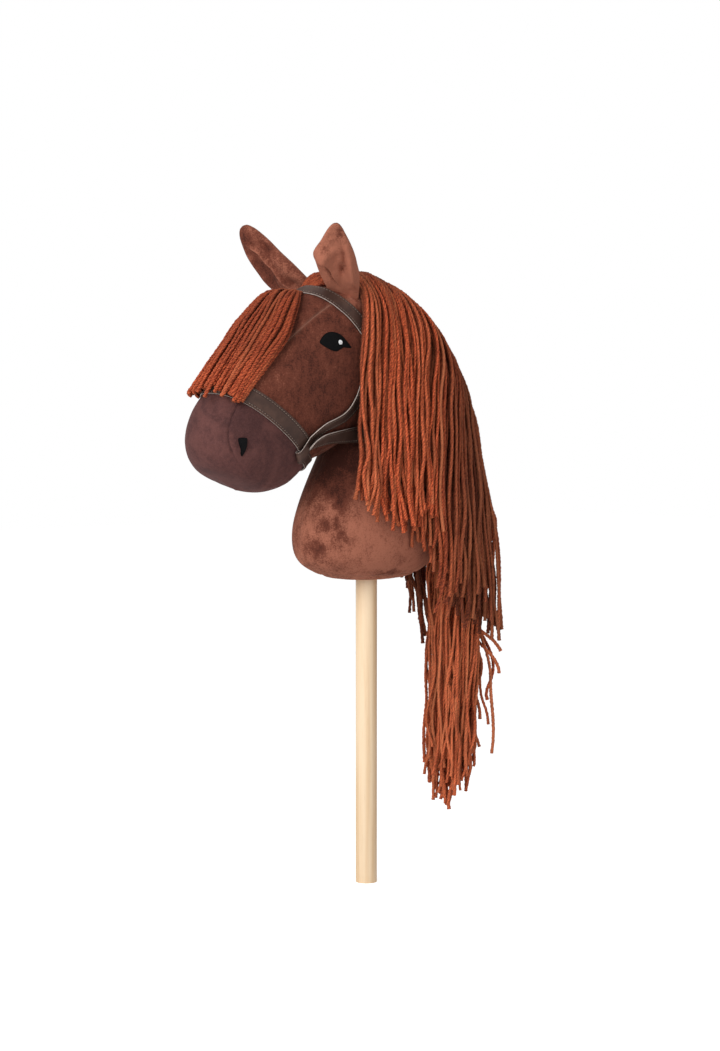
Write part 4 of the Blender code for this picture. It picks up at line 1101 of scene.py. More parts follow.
def on_form(form, places, lift=STRAP_LIFT):
    """A strap's stops at places on a form, given as stations and angles."""
    s, a = np.array(places, float).T
    return [(p, n, lift) for p, n in zip(form.at(s, a, lift), form.normals(s, a))]


def both_sides(route):
    """A strap's stops from its left end to the middle, and back down the right side."""
    return route + [(p * MIRROR, n * MIRROR, lift) for p, n, lift in route[-2::-1]]


def rolled_end(centre, strap):
    """The strap's end rolled up at the corner of the mouth, as rows of points from its inner end outwards."""
    down = unit(np.array(ROLL_DOWN))
    near = unit(np.array(ROLL_NEAR) - down * np.dot(ROLL_NEAR, down))
    right = np.cross(near, down)
    right = right if right.dot(VIEW_RIGHT) > 0 else -right
    rows = []
    for share in np.linspace(0, 1, ROLL_ROWS):
        turn = math.radians(90 + ROLL_TURN * (1 - share))
        radius = ROLL_INNER + (ROLL_OUTER - ROLL_INNER) * share
        spot = centre + (right * math.cos(turn) + near * math.sin(turn)) * radius
        rows.append([spot - down * (offset - strap.width / 2) for offset in strap.offsets])
    return np.array(rows), right


def halter(head, neck, trees, finishes):
    """The straps of the halter, each with its stitching."""
    crown = [(neck.read(POLL_SEAM, 180) + np.array([CROWN_BACK, 0, STRAP_LIFT]), UP, STRAP_LIFT)]
    cheek = both_sides(on_form(head, CHEEK_STRAP) + crown)
    headstall = Strap("headstall", cheek, HEADSTALL_WIDTH, trees, CHEEK_LEAN)
    rows, onward = rolled_end(head.at(*ROLL_PLACE, ROLL_LIFT), headstall)
    headstall.lead_in(rows, onward, ROLL_THICKNESS)
    rein = both_sides(on_form(head, REIN_ON_HEAD, OVER_STRAP) + on_form(neck, REIN_ON_NECK)
                      + on_form(neck, REIN_OVER_CREST, OVER_STRAP))
    chin = both_sides(on_form(head, CHIN_STRAP))
    straps = [
        Strap("noseband", both_sides(on_form(head, NOSEBAND)), NOSEBAND_WIDTH, trees),
        Strap("chin_strap", chin, CHIN_STRAP_WIDTH, trees, pale=(True, False)),
        Strap("browband", both_sides(on_form(head, BROWBAND)), BROWBAND_WIDTH, trees),
        headstall,
        Strap("rein", rein, REIN_WIDTH, trees, REIN_LEAN),
    ]
    for made in straps:
        made.finished()
        set_in_place(made.body(finishes), "horse", "dark_strap", made.name)
        set_in_place(made.stitches(finishes.stitching), "horse", "dark_strap")


def mane_tape(neck, trees, finishes):
    """The cotton tape under the mane, which carries its yarn."""
    poll = neck.read(np.array(POLL_SEAM), np.array(0.0))
    route = [(poll + (x, 0, TAPE_LIFT), UP, TAPE_LIFT) for x in TAPE_OVER_POLL]
    tape = Strap("mane_tape", route + on_form(neck, TAPE_ON_NECK, TAPE_LIFT), TAPE_WIDTH, trees)
    tape.finished()
    woven = set_in_place(tape.body(finishes), "horse", "cotton_tape", "mane_tape")
    for slot in woven.material_slots:
        slot.material = finishes.cotton


def closed_curve(corners, count):
    """A smooth closed outline through a few corner points."""
    corners = np.array(corners)
    looped = np.concatenate([corners[-2:], corners, corners[:2]])
    return through(looped, 2 + np.linspace(0, len(corners), count, endpoint=False))


def patch(name, centre, across, outline, heights, tree, finish):
    """A padded patch of embroidery that lies on a surface.

    The outline is flat, round its centre. Heights are how far its middle and its edge stand up.
    """
    middle, edge = heights
    nearest, normal, _, _ = tree.find_nearest(Vector(centre))
    across = Vector(across)
    across = (across - normal * across.dot(normal)).normalized()
    up = normal.cross(across)
    up = up if up.z > 0 else -up
    shares = np.linspace(0, 1, 15)[1:] ** 0.8
    spots = np.array([np.zeros(2)] + [point * share for share in shares for point in outline])
    lifts = [middle] + [edge + (middle - edge) * math.sqrt(max(0, 1 - s**4)) for s in shares for _ in outline]
    points = []
    for (x, y), lift in zip(spots, lifts):
        found, outward, _, _ = tree.find_nearest(nearest + across * x + up * y)
        points.append(found + outward * lift)
    count = len(outline)
    first = np.arange(count) + 1
    centre_faces = np.stack([np.zeros(count, int), first, np.roll(first, -1)], axis=1)
    rings = grid_faces(len(shares), count, True) + 1
    marks = {"thread": spots[:, 0] * THREADS_PER_METRE}
    made = add_mesh(name, np.array(points), [centre_faces, rings[:, ::-1]], [finish], marks)
    facing(made, 0, normal)
    thicken(made, PATCH_SKIN)
    return made


def mirrored(source, name):
    """The same piece on the other side."""
    made = bpy.data.objects.new(name, source.data.copy())
    bpy.context.scene.collection.objects.link(made)
    co = np.zeros(len(made.data.vertices) * 3, np.float32)
    made.data.vertices.foreach_get("co", co)
    made.data.vertices.foreach_set("co", (co.reshape(-1, 3) * MIRROR).astype(np.float32).ravel())
    made.data.flip_normals()
    for old in source.modifiers:
        thicken(made, old.thickness)
    return made


def embroidery(head, tree, finishes):
    """Both eyes with their glints, and both nostrils."""
    eye_at = head.at(*EYE_PLACE)
    eye_line = closed_curve(EYE, 96) / 1000
    eye = patch("eye_left", eye_at, EYE_ALONG, eye_line, EYE_HEIGHTS, tree, finishes.black)
    glint_at = eye_at + unit(EYE_ALONG) * GLINT_PLACE[0] / 1000 + UP * GLINT_PLACE[1] / 1000
    turns = np.linspace(0, 2 * np.pi, 24, endpoint=False)
    disc = np.stack([np.cos(turns), np.sin(turns)], axis=1) * GLINT_RADIUS
    glint = patch("eye_glint_left", glint_at, EYE_ALONG, disc, GLINT_HEIGHTS, tree, finishes.white)
    ahead = np.cross(head.normals(*np.array(NOSTRIL_PLACE)), UP)
    nostril = patch("nostril_left", head.at(*NOSTRIL_PLACE), ahead, closed_curve(NOSTRIL, 72) / 1000,
                    NOSTRIL_HEIGHTS, tree, finishes.black)
    for made, node, slot in ((eye, "eye", "black_thread"), (glint, "eye_glint", "white_thread"),
                             (nostril, "nostril", "black_thread")):
        other = mirrored(made, node + "_right")
        set_in_place(made, "horse", slot, node + "_left")
        set_in_place(other, "horse", slot, node + "_right")


def pole(finishes):
    """The turned pole with its slightly eased ends."""
    eased = POLE_RIM * 0.3
    profile = [(POLE_RADIUS - POLE_RIM, 0), (POLE_RADIUS - eased, eased), (POLE_RADIUS, POLE_RIM)]
    heights = np.linspace(POLE_RIM, POLE_LENGTH - POLE_RIM, POLE_RINGS)[1:-1]
    profile += [(POLE_RADIUS, z) for z in heights]
    profile += [(r, POLE_LENGTH - z) for r, z in profile[2::-1]]
    turns = np.linspace(0, 2 * np.pi, POLE_SIDES, endpoint=False)
    circle = np.stack([np.cos(turns), np.sin(turns), np.zeros(POLE_SIDES)], axis=1)
    points = np.concatenate([*(circle * r + UP * z for r, z in profile), [(0, 0, 0), (0, 0, POLE_LENGTH)]])
    count = len(profile) * POLE_SIDES
    low = np.arange(POLE_SIDES)
    high = low + count - POLE_SIDES
    caps = np.concatenate([np.stack([np.roll(low, -1), low, np.full(POLE_SIDES, count)], axis=1),
                           np.stack([high, np.roll(high, -1), np.full(POLE_SIDES, count + 1)], axis=1)])
    walls = grid_faces(len(profile), POLE_SIDES, True)
    made = add_mesh("turned_pole", points, [walls, caps], [finishes.wood])
    made.data.set_sharp_from_angle(angle=math.radians(50))
    set_in_place(made, "horse", "pale_wood", "pole")


def smoothed(lines, times):
    """Lines of points with their bends eased and their ends kept."""
    for _ in range(times):
        lines[:, 1:-1] = (lines[:, :-2] + lines[:, 2:] + 2 * lines[:, 1:-1]) / 4
    return lines


def evened(lines, lengths, count):
    """Lines read again at so many places each, evenly spaced by length."""
    return np.stack([read_along(line, length, np.linspace(0, length[-1], count))
                     for line, length in zip(lines, lengths)])


def carried_frames(tangents):
    """Two directions across each line at each of its points, carried along it without a twist."""
    first = np.zeros_like(tangents)
    first[:, 0] = unit(np.cross(tangents[:, 0], ASKEW))
    for k in range(1, tangents.shape[1]):
        ahead = (first[:, k - 1] * tangents[:, k]).sum(axis=1, keepdims=True)
        first[:, k] = unit(first[:, k - 1] - tangents[:, k] * ahead)
    return first, np.cross(tangents, first)


class Strands:
    """Many strands of yarn of one piece, all with the same number of points."""

    def __init__(self, seed):
        self.random = np.random.default_rng(seed)
        self.paths, self.outward, self.faded, self.covered_shade = [], [], [], []

    def waver(self, strands, places, size, waves):
        """A slow random drift along each strand, that starts at nothing."""
        phase = self.random.uniform(0, 2 * np.pi, (strands, 1, 3))
        pace = self.random.uniform(0.6, 1.4, (strands, 1, 3)) * waves
        swing = np.sin(phase + pace * places[..., None] * 2 * np.pi) - np.sin(phase)
        return swing * size * ease(places / 0.25)[..., None]

    def add(self, paths, outward, faded, covered_shade):
        """Strands, which way is out of the lock, how browned they are from root to end as painted shade and
        random tone, and how much painted shade they take for lying under others.
        """
        self.paths.append(paths)
        self.outward.append(np.broadcast_to(outward, paths.shape))
        self.faded.append(np.clip(faded, 0, 1))
        self.covered_shade.append(np.broadcast_to(covered_shade, len(paths)))

    def twisted(self, along, radius):
        """How far each strand's plies have turned, and how thick it is, at places along it."""
        one_each = (len(along), 1)
        pitch = YARN_PITCH * self.random.uniform(0.88, 1.25, one_each)
        twist = self.random.uniform(0, 2 * np.pi, one_each) + along / pitch * 2 * np.pi
        size = radius * self.random.uniform(0.80, 1.08, one_each)
        wander = along + 0.004 * np.sin(along / 0.011 + 3 * twist[:, :1])
        twist = twist + 1.1 * np.sin(wander / 0.0031)
        lump = np.sin(wander * 2 * np.pi / 0.0047) * (0.6 + 0.4 * np.sin(along / 0.0017 + 5 * twist[:, :1]))
        size = size * (1 + 0.06 * np.sin(along / 0.023 + twist[:, :1]) + 0.09 * lump)
        frayed = 1 + 0.16 * np.exp(-(along[:, -1:] - along) / 0.003)
        return twist, size * frayed

    def build(self, name, count, finish, radius=YARN_RADIUS, lit=0.0):
        """The strands as twisted, plied tubes with blunt ends. Lit is the least share of painted highlight
        that the yarn takes.
        """
        paths = np.concatenate(self.paths)
        lengths = line_lengths(np.moveaxis(paths, 1, 0)).T
        middles = smoothed(evened(paths, lengths, count), 2)
        outward = evened(np.concatenate(self.outward), lengths, count)
        tangents = unit(np.gradient(middles, axis=1))
        outward = unit(outward - tangents * (outward * tangents).sum(axis=2, keepdims=True))
        first, second = carried_frames(tangents)
        shares = np.linspace(0, 1, count)
        at_tip = climb(shares, 0.72, 0.22)
        twist, size = self.twisted(lengths[:, -1:] * shares, radius)
        points, ply, deep = [], [], []
        for side in range(YARN_SIDES):
            turn = twist + 2 * np.pi * side / YARN_SIDES
            stands = 1.0 if side % 2 == 0 else 0.0
            away = first * np.cos(turn)[..., None] + second * np.sin(turn)[..., None]
            points.append(middles + away * (size * (0.87 + 0.21 * stands))[..., None])
            ply.append(np.full(size.shape, stands))
            shown = (away * outward).sum(axis=2)
            # Sides that face into the lock take painted shade, less near the tips.
            deep.append((1 - climb(shown, -0.24, 0.78)) * (1 - 0.6 * climb(-shown, 0.35, 0.5))
                        * (1 - 0.6 * at_tip))
        points = np.stack(points, axis=2)
        faces = [group[:, ::-1] for group in tube_faces(len(paths), count, YARN_SIDES)]
        # Browning from root to end: painted shade, and a random tone for each strand.
        faded = np.concatenate(self.faded)
        shade_and_tone_along = faded[:, :1] + (faded[:, 1:] - faded[:, :1]) * climb(shares, 0, 0.32)
        # Painted shade for strands under others, and at every root, less at the tips.
        covered_shade = np.concatenate(self.covered_shade)[:, None] * (1 - 0.65 * at_tip)
        covered_shade = np.maximum(covered_shade, 0.75 * (1 - climb(shares, 0, 0.17)))
        # Share of painted highlight: the piece's least, plus a random share for each strand.
        light = lit + self.random.uniform(0, 1, len(paths)) ** 2
        marks = {
            "ply": np.stack(ply, axis=2),
            "faded": np.repeat(shade_and_tone_along.ravel(), YARN_SIDES),
            "light": np.repeat(light, count * YARN_SIDES),
            "covered_shade": np.repeat(covered_shade.ravel(), YARN_SIDES),
            "deep": np.stack(deep, axis=2),
        }
        return add_mesh(name, points.reshape(-1, 3), faces, [finish], marks)


def guide_lines(side, count=48):
    """The mane's guide lines of one side, evenly spaced along each."""
    lines = []
    for guide, (back, up) in zip(MANE_GUIDES, RIGHT_TIPS):
        stops = np.array(guide) + (0, 0, BASE)
        places, lengths = by_length(stops, 200)
        line = through(stops, np.interp(np.linspace(0, lengths[-1], count), lengths, places))
        if side == "right":
            line += np.linspace(0, 1, count)[:, None] ** 2 * (back, 0, up)
            line *= MIRROR
        lines.append(line)
    return np.array(lines)


def on_sheet(lines, s, t):
    """Points of the sheet that guide lines span, at s across them and t along them."""
    along = carried_on(np.stack([through(line, t * (lines.shape[1] - 1)) for line in lines]))
    start = np.clip(np.floor(s).astype(int), 0, len(lines) - 2)
    index = np.indices(s.shape)
    return curve_between(*(along[(start + k, *index)] for k in range(4)), (s - start)[..., None])


def off_sheet(lines, s, t, points, tau, hand):
    """Which way is out of a lock: up off the crest at the roots, and off the sheet further down."""
    normals = unit(np.cross(on_sheet(lines, s + 0.05, t) - on_sheet(lines, s - 0.05, t),
                            on_sheet(lines, s, t + 0.01) - on_sheet(lines, s, t - 0.01)))
    normals *= np.where(normals[..., 1:2] * hand < 0, -1, 1)
    crest = points - CREST_CENTRE
    crest[..., 1] = 0
    over = (1 - climb(tau, 0, 0.22))[..., None]
    return unit(normals * (1 - over) + unit(crest) * over)


def strand_ends(random, side, span, count, layer):
    """For each strand of a layer, across the sheet: where it starts and where it hangs. Then its length."""
    outer = layer / (LAYERS - 1)
    end = span[0] + (span[1] - span[0]) * (np.arange(count) + 0.5 + random.uniform(-0.3, 0.3, count)) / count
    pulled = 0.80 - 0.62 * climb(outer, 0.3, 0.7)
    shuffled = random.uniform(-0.08, 0.08, count) * climb(end, 0, 0.3)
    root = end * pulled + 0.25 * outer * climb(end, 0, 0.8) + shuffled
    ragged = dents(np.stack([end * 0.8, 0 * end, 0 * end + layer * 0.3], axis=1), 0.35, 0.07)
    tip = 1 + random.normal(0, 1, count) * (0.020 + 0.016 * climb(end, 1.6, 0.8)) + ragged
    tip -= 0.04 * (1 - outer) * (1 - climb(end, 1.8, 0.8))
    cropped = climb(end, 0.5, 1.4) * (1 - climb(end, 2.0, 0.2)) * climb(outer, 0.2, 0.4)
    tip -= CROPPED[side] * cropped
    return root, end, tip


def strand_places(strands, root, end, tip, tau):
    """Where strands lie on the sheet: they fan out from the root, hang in clumps and waver a little."""
    fan = 1 - (1 - np.clip(tau / 0.5, 0, 1)) ** 2.2
    s = root[:, None] + (end - root)[:, None] * fan
    bend = 1.0 + 0.42 * np.maximum(end - root, 0)[:, None]
    clump = np.round(end * CLUMPS) / CLUMPS
    held = 0.45 * (1 - 0.8 * climb(end, 3.3, 0.4))[:, None]
    drawn = strands.random.uniform(0, 1, (len(end), 1))
    s = s + (clump - end)[:, None] * held * np.sin(np.pi * np.clip(tau, 0, 1)) ** 2 * drawn
    drift = strands.waver(len(end), tau, 1.0, 1.1)
    return s + drift[..., 0] * 0.035, tau ** bend * tip[:, None], drift[..., 1]


def mane_lock(name, side, span, per_layer, rings, trees, finishes, seed):
    """Yarn of one lock: layers that fan from the poll down the neck, over layers sewn along the crest."""
    strands = Strands(seed)
    random = strands.random
    lines = guide_lines(side)
    tau = np.broadcast_to(np.linspace(0, 1, LOCK_POINTS), (per_layer, LOCK_POINTS))
    for layer in range(LAYERS):
        outer = layer / (LAYERS - 1)
        root, end, tip = strand_ends(random, side, span, per_layer, layer)
        s, t, drift = strand_places(strands, root, end, tip, tau)
        points = on_sheet(lines, s, t)
        outward = off_sheet(lines, s, t, points, tau, HAND[side])
        flattened = climb(s, 0.35, 0.6) * (1 - 0.75 * climb(s, 2.3, 0.5)) * (1 - climb(tau, 0.12, 0.35))
        rise = LAYER * layer * (1 - 0.70 * flattened) + 0.0010 * drift
        points = points + outward * (0.002 + rise)[..., None]
        points += strands.waver(per_layer, tau, 0.0011, 2.6) * climb(tau, 0, 0.4)[..., None]
        points += strands.waver(per_layer, tau, 0.0026, 3.4) * climb(tau, 0.6, 0.4)[..., None]
        lift = ROOT_LIFT + (YARN_LIFT - ROOT_LIFT) * climb(tau, 0, 0.12) + rise
        points = smoothed(seated(points, trees, lift), 4)
        # Browning as painted shade: towards the back, in the inner layers and at the crest, with a random
        # tone.
        browner = 0.02 + 0.46 * climb(end, 1.85, 0.4) + 0.34 * climb(end, 2.5, 0.5) + 0.25 * (1 - outer)
        hung = browner + random.normal(0, 0.10, per_layer)
        crest_end = 0.90 + 0.10 * climb(end, 0.3, 1.6) + random.normal(0, 0.10, per_layer)
        # Painted shade for the inner layers and for the back of the mane.
        covered_shade = np.minimum(1 - outer + 0.32 * climb(end, 1.95, 0.6), 1)
        strands.add(points, outward, np.stack([crest_end, hung], axis=1), covered_shade)
    made = strands.build("yarn_" + name, rings, finishes.yarn)
    return set_in_place(made, "horse", "rust_yarn", name)


def tail_places(random):
    """Each strand's ring in the tail, its place ahead and to the side, its root and tip, and if it strays."""
    index = np.arange(TAIL_STRANDS)
    ring = ((index + 0.5) / TAIL_STRANDS) ** 0.42
    ahead = ring * np.cos(index * SPIRAL_TURN)
    wide = ring * np.sin(index * SPIRAL_TURN)
    root = 0.165 - 0.085 * random.uniform(0, 1, TAIL_STRANDS)
    tip = -0.228 + 0.030 * climb(ahead, -0.1, 1.1) + random.normal(0, 0.012, TAIL_STRANDS)
    tip += random.exponential(0.014, TAIL_STRANDS) * ring**2
    strays = index % 12 == 7
    ahead = np.where(strays, random.uniform(0.70, 1.25, TAIL_STRANDS), ahead)
    wide = np.where(strays, random.uniform(-1.50, -0.20, TAIL_STRANDS), wide)
    tip = np.where(strays, random.uniform(-0.195, -0.055, TAIL_STRANDS), tip)
    return ring, ahead, wide, root, tip, strays


def mane_tail(trees, finishes):
    """The yarn sewn lowest on the crest, which hangs free behind the neck, with some strands gone astray."""
    strands = Strands(TAIL_SEED)
    ring, ahead, wide, root, tip, strays = tail_places(strands.random)
    tau = np.broadcast_to(np.linspace(0, 1, TAIL_POINTS), (TAIL_STRANDS, TAIL_POINTS))
    height = root[:, None] + (tip - root)[:, None] * tau
    table = np.array(TAIL_STATIONS)[::-1]
    middle, depth, half = (np.interp(height, table[:, 0], table[:, k]) for k in (1, 2, 3))
    spread = climb(tau, 0, 0.25)
    drift = 0.10 * strands.waver(TAIL_STRANDS, tau, 1.0, 1.3)
    stray = 1 + 0.12 * climb(ahead, 0.45, 0.5)[:, None] * (1 - climb(tau, 0, 0.9))
    stray = np.where(strays[:, None], 0.36 + 0.60 * climb(-height, 0.03, 0.08), stray)
    across = wide[:, None] * np.minimum(stray, 1)
    x = middle + depth * spread * (ahead[:, None] * stray + drift[..., 0]) * TAIL_FILL
    y = half * (0.15 + 0.85 * spread) * (across + drift[..., 1]) * TAIL_FILL
    points = np.stack([x, y, BASE + height], axis=-1)
    outward = unit(np.stack([ahead, wide, 0.02 + 0 * wide], axis=1))[:, None, :]
    points += strands.waver(TAIL_STRANDS, tau, 0.0016, 2.2) * climb(tau, 0, 0.4)[..., None]
    swing = np.where(strays, 1.7, 1.0)[:, None, None]
    points += strands.waver(TAIL_STRANDS, tau, 0.0030, 3.6) * climb(tau, 0.45, 0.55)[..., None] * swing
    points = smoothed(seated(points, trees, 0.004), 2)
    # Browning as painted shade at the roots, with a random tone for each strand.
    hung = strands.random.normal(0.10, 0.10, TAIL_STRANDS)
    shade_and_tone_along = np.stack([hung + 0.25, hung], axis=1)
    # Painted shade for the strands inside the tail.
    covered_shade = 0.45 * (1 - ring)
    for part, share in enumerate(np.array_split(np.arange(TAIL_STRANDS), TAIL_PARTS)):
        bundle = Strands(TAIL_SEED + 1 + part)
        bundle.add(points[share], outward[share], shade_and_tone_along[share], covered_shade[share])
        # The tail takes more painted highlight.
        made = bundle.build(f"yarn_mane_tail_{part + 1}", TAIL_RINGS, finishes.yarn, TAIL_RADIUS, 0.35)
        set_in_place(made, "horse", "rust_yarn", *(["mane_tail"] if part == TAIL_PARTS - 1 else []))


def forelock(head, trees, finishes):
    """Yarn from the poll, drawn flat under the browband, that fans thickly over the forehead."""
    strands = Strands(FORELOCK_SEED)
    random = strands.random
    count = FORELOCK_STRANDS
    tau = np.broadcast_to(np.linspace(0, 1, FORELOCK_POINTS), (count, FORELOCK_POINTS))
    for layer in range(LAYERS):
        buried = LAYERS - 1 - layer
        across = (np.arange(count) + 0.5 + random.uniform(-0.15, 0.15, count)) / count
        tip = 1.003 + random.normal(0, 0.009, count) - 0.012 * buried
        drift = strands.waver(count, tau, 1.0, 1.0)
        rows = tau * tip[:, None] * (len(FORELOCK) - 1)
        station, near, far = np.moveaxis(through(FORELOCK, rows), -1, 0)
        share = across[:, None] + 0.02 * drift[..., 0]
        angle = near + (far - near) * share
        loose = climb(station, 2.62, 0.62)
        tuft = hill(station - 1.86, 0.20, 4)
        pressed = hill(station - 2.42, 0.30, 4)
        rounded = np.sqrt(np.sin(np.pi * np.clip(share, 0.03, 0.97)))
        rise = 0.0046 + LAYER * layer * loose * rounded + 0.0006 * drift[..., 1] * loose
        rise = rise + 0.0030 * hill(station - 3.85, 0.85, 4)
        rise = rise + (-0.0020 + 0.0034 * layer * rounded) * tuft - 0.0066 * pressed
        least = 0.0044 - 0.0064 * pressed - 0.0024 * tuft
        points = smoothed(seated(head.at(station, angle, rise), trees[:1], least), 3)
        # Browning as painted shade, more at the roots, with a random tone for each strand.
        hung = random.normal(0.26, 0.08, count)
        # Painted shade over the forelock, more for its buried layers.
        covered_shade = 0.58 + 0.3 * buried / (LAYERS - 1)
        strands.add(points, head.normals(station, angle), np.stack([hung + 0.25, hung], axis=1), covered_shade)
    # The forelock takes less painted highlight.
    made = strands.build("yarn_forelock", FORELOCK_RINGS, finishes.yarn, lit=-0.5)
    set_in_place(made, "horse", "rust_yarn", "forelock")


def mane(trees, finishes):
    """The locks of both sides, and the tail of the mane."""
    seed = LOCK_SEED
    for side in ("left", "right"):
        for part, (span, per_layer, rings) in LOCKS.items():
            mane_lock(f"mane_{part}_{side}", side, span, per_layer, rings, trees, finishes, seed)
            seed += 1
    mane_tail(trees, finishes)


def from_line(u, v, table):
    """Signed distance of places from a line, plus above and right of it, and the line's height there."""
    line = through(table, np.linspace(0, len(table) - 1, 12 * len(table)))
    best = np.full(u.shape, 1e9)
    height = np.zeros(u.shape)
    for (u0, v0, h0), (u1, v1, h1) in zip(line[:-1], line[1:]):
        step = np.array([u1 - u0, v1 - v0])
        share = np.clip(((u - u0) * step[0] + (v - v0) * step[1]) / step.dot(step), 0, 1)
        away = np.hypot(u - u0 - share * step[0], v - v0 - share * step[1])
        side = np.sign(step[0] * (v - v0) - step[1] * (u - u0))
        closer = away < np.abs(best)
        best = np.where(closer, away * np.where(side == 0, 1, side), best)
        height = np.where(closer, h0 + (h1 - h0) * share, height)
    return best, height


def ear_face(side, u, v, q):
    """Height of an ear's face over its plane in millimetres, and the lie of its pile with painted shade and
    highlight that follow its relief.
    """
    relief = np.zeros(u.shape)
    lie_and_shade = np.full(u.shape, EAR_BASE_LIE[side])
    for right, up, wide, tall, height, pile_and_shade in EAR_RELIEF[side]:
        near = np.exp(-(((u - right) / wide) ** 2) - ((v - up) / tall) ** 2)
        relief += height * near
        lie_and_shade += pile_and_shade * near
    away, height = from_line(u, v, EAR_LINES[side])
    # Painted shade under the near ear's folded edge, and a painted highlight along the far ear's ridge.
    if side == "left":
        relief += height * climb(away, -0.7, 1.4) * np.exp(-np.maximum(away, 0) / 9)
        lie_and_shade -= 0.36 * height * np.exp(-np.maximum(-away, 0) / 2.4) * (away < 0.5)
    else:
        relief += height * hill(away, 1.9)
        lie_and_shade += 0.15 * height * hill(away, 1.5)
    edge = 1 - np.abs(q) ** 6
    return EAR_DEPTH * relief * edge * climb(v, -2, 24), lie_and_shade - 0.12 * (1 - edge)


def ear(side, head, finishes):
    """A stuffed-cloth ear, folded as the photograph shows it, sewn to the corner of the skull."""
    hand = HAND[side]
    station, angle = EAR_ROOT
    root = head.at(station, angle if hand < 0 else 180 - angle)
    tall = unit(np.array(EAR_REACH[side]))
    turn = math.radians(EAR_TURN[side])
    front_way = np.array([-math.cos(turn), hand * math.sin(turn), 0.0])
    front_way = unit(front_way - tall * front_way.dot(tall))
    wide = np.cross(tall, front_way)
    wide = wide if wide.dot(VIEW_RIGHT) > 0 else -wide
    table = np.array(EAR_OUTLINES[side], float)
    v, low, high = through(table, np.linspace(0, len(table) - 1, EAR_ROWS)).T[:, :, None]
    q = 2 * edge_spaced(EAR_COLUMNS)[None, :] - 1
    u = (low + high) / 2 + (high - low) / 2 * q
    v = np.broadcast_to(v, u.shape)
    relief, lie_and_shade = ear_face(side, u, v, q)
    tip = np.clip((table[-1, 0] + 1.5 - v) / 12, 0, 1) ** 0.5
    half = 0.35 + (0.9 + 1.2 * climb(v, 0, 22)) * np.sqrt(np.maximum(1 - np.abs(q) ** 4, 0)) * tip
    middle = root + (wide * u[..., None] + tall * v[..., None]) / 1000
    soft = (dents(middle, 0.010, 0.7) + dents(middle, 0.005, 0.4)) * (1 - np.abs(q) ** 6)
    front = middle + front_way * (half + (relief + soft) * tip)[..., None] / 1000
    back = middle + front_way * (-half + EAR_BACK_DEPTH * (relief + soft) * tip)[..., None] / 1000
    ring = np.concatenate([front, back[:, ::-1]], axis=1)
    sewn = np.exp(-(1 - np.abs(np.concatenate([q, q[:, ::-1]], axis=1))) / 0.02) * np.ones((EAR_ROWS, 1))
    marks = {"seam": sewn * 0.4, "lie_and_shade": np.concatenate([lie_and_shade, np.full(lie_and_shade.shape, EAR_BACK_LIE)], axis=1)}
    made = add_mesh("folded_ear_" + side, ring.reshape(-1, 3), tube_faces(1, *ring.shape[:2]),
                    [finishes.plush], marks)
    facing(made, 40 * ring.shape[1] + EAR_COLUMNS // 2, front_way)
    root - tall * 0.004
    root + tall * 0.020
    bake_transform(made)
    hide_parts(f"ear_{side}_back", f"ear_{side}_lining")


def hidden_parts(finishes):
    """Finishes for the solids inside the skins."""
    for node, finish in {"pole_sleeve": finishes.cotton, "head_filling": finishes.fibre,
                         "neck_filling": finishes.fibre}.items():
        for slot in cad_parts[node].material_slots:
            slot.material = finish


def aimed(name, data, middle, azimuth, elevation, distance):
    """A camera or lamp that looks at the middle, from so many degrees round it and above it."""
    turn, rise = math.radians(azimuth), math.radians(elevation)
    toward = Vector((math.sin(turn) * math.cos(rise), -math.cos(turn) * math.cos(rise), math.sin(rise)))
    obj = bpy.data.objects.new(name, data)
    obj.location = Vector(middle) + toward * distance
    obj.rotation_euler = (-toward).to_track_quat("-Z", "Y").to_euler()
    bpy.context.scene.collection.objects.link(obj)
    return obj


def camera():
    """The photograph's camera."""
    made = bpy.data.cameras.new("camera")
    made.sensor_width = SENSOR
    made.lens = VIEW_DISTANCE * SENSOR / (IMAGE_HEIGHT * PIXEL)
    bpy.context.scene.camera = aimed("camera", made, VIEW_TARGET, VIEW_AZIMUTH, VIEW_ELEVATION, VIEW_DISTANCE)


def lamp(name, azimuth, elevation, distance, size, power):
    """A soft square lamp that looks at the middle of the horse."""
    data = bpy.data.lights.new(name, "AREA")
    data.shape = "SQUARE"
    data.size = size
    data.energy = power
    aimed(name, data, LAMP_TARGET, azimuth, elevation, distance)


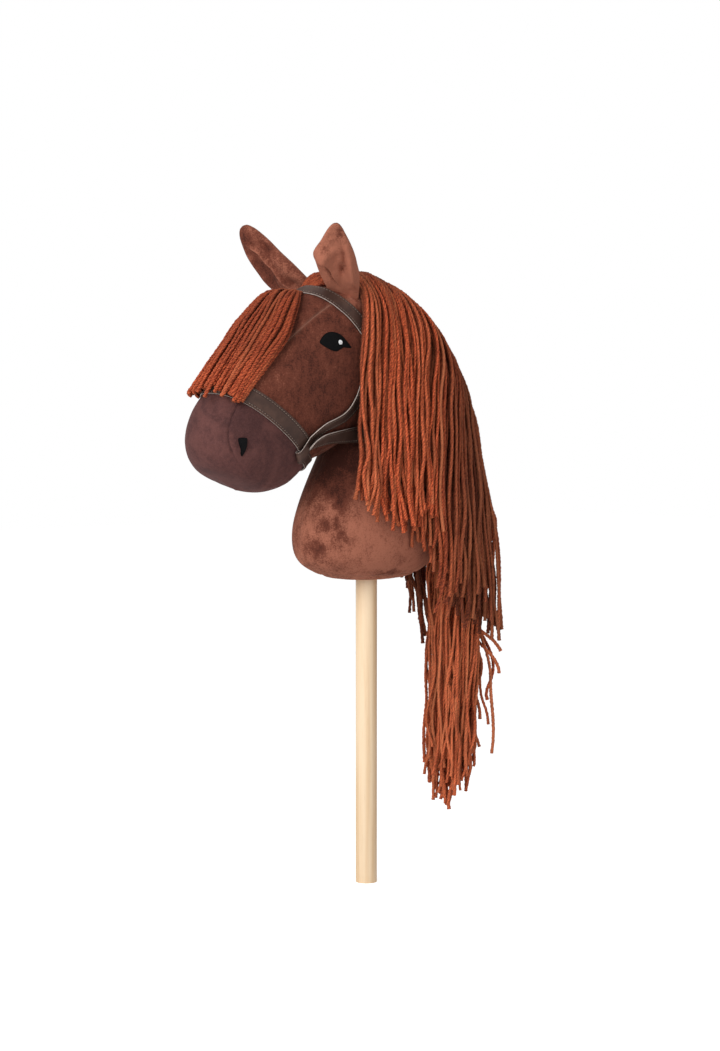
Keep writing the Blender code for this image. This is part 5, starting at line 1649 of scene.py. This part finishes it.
def white_to_camera(nodes, seen, unseen):
    """Mixes two shaders: one for what a camera, mirror or glass sees, and one for all other light."""
    names = ("Is Camera Ray", "Is Glossy Ray", "Is Transmission Ray")
    camera_ray, mirror_ray, glass_ray = (nodes.node("ShaderNodeLightPath", output=name) for name in names)
    share = camera_ray.most(mirror_ray).most(glass_ray)
    return nodes.node("ShaderNodeMixShader", None, {0: share, 1: unseen, 2: seen})


def studio():
    """A white floor that keeps the shadow, a white surround, and soft lamps."""
    scene = bpy.context.scene
    scene.view_settings.view_transform = "Standard"
    sky = Nodes(bpy.data.worlds.new("surround"))
    sky.tree.nodes.remove(sky.tree.nodes["Background"])
    white = sky.node("ShaderNodeBackground", None, {"Color": WHITE, "Strength": 1.0})
    light = sky.node("ShaderNodeBackground", None, {"Color": WHITE, "Strength": SURROUND_LIGHT})
    scene.world = sky.link(white_to_camera(sky, white, light), "World Output", "Surface")

    paper = Nodes(bpy.data.materials.new("white_floor"))
    paper.tree.nodes.remove(paper.tree.nodes["Principled BSDF"])
    matte = paper.node("ShaderNodeBsdfDiffuse", None, {"Color": (*[FLOOR_SHADE] * 3, 1)})
    strength = FLOOR_WHITE - FLOOR_SHADE * SURROUND_LIGHT
    glow = paper.node("ShaderNodeEmission", None, {"Color": WHITE, "Strength": strength})
    both = paper.node("ShaderNodeAddShader", None, {0: matte, 1: glow})
    finish = paper.link(white_to_camera(paper, both, matte), "Material Output", "Surface")
    corners = [(-1, -1, 0), (1, -1, 0), (1, 1, 0), (-1, 1, 0)]
    floor = add_mesh("floor", np.array(corners) * FLOOR_HALF, [np.array([[0, 1, 2, 3]])], [finish])

    for name, values in LAMPS.items():
        lamp(name, *values)


def build():
    camera()
    studio()
    head, neck = Form(read_head, -1), Form(read_neck, 1)
    trees = (head.tree(FORM_ENDS), neck.tree(FORM_ENDS))
    finishes = Finishes()
    pole(finishes)
    plush_skins(head, neck, trees, finishes)
    muzzle(head, finishes)
    halter(head, neck, trees, finishes)
    mane_tape(neck, trees, finishes)
    embroidery(head, trees[0], finishes)
    for side in ("left", "right"):
        ear(side, head, finishes)
    mane(trees, finishes)
    forelock(head, trees, finishes)
    hidden_parts(finishes)


build()
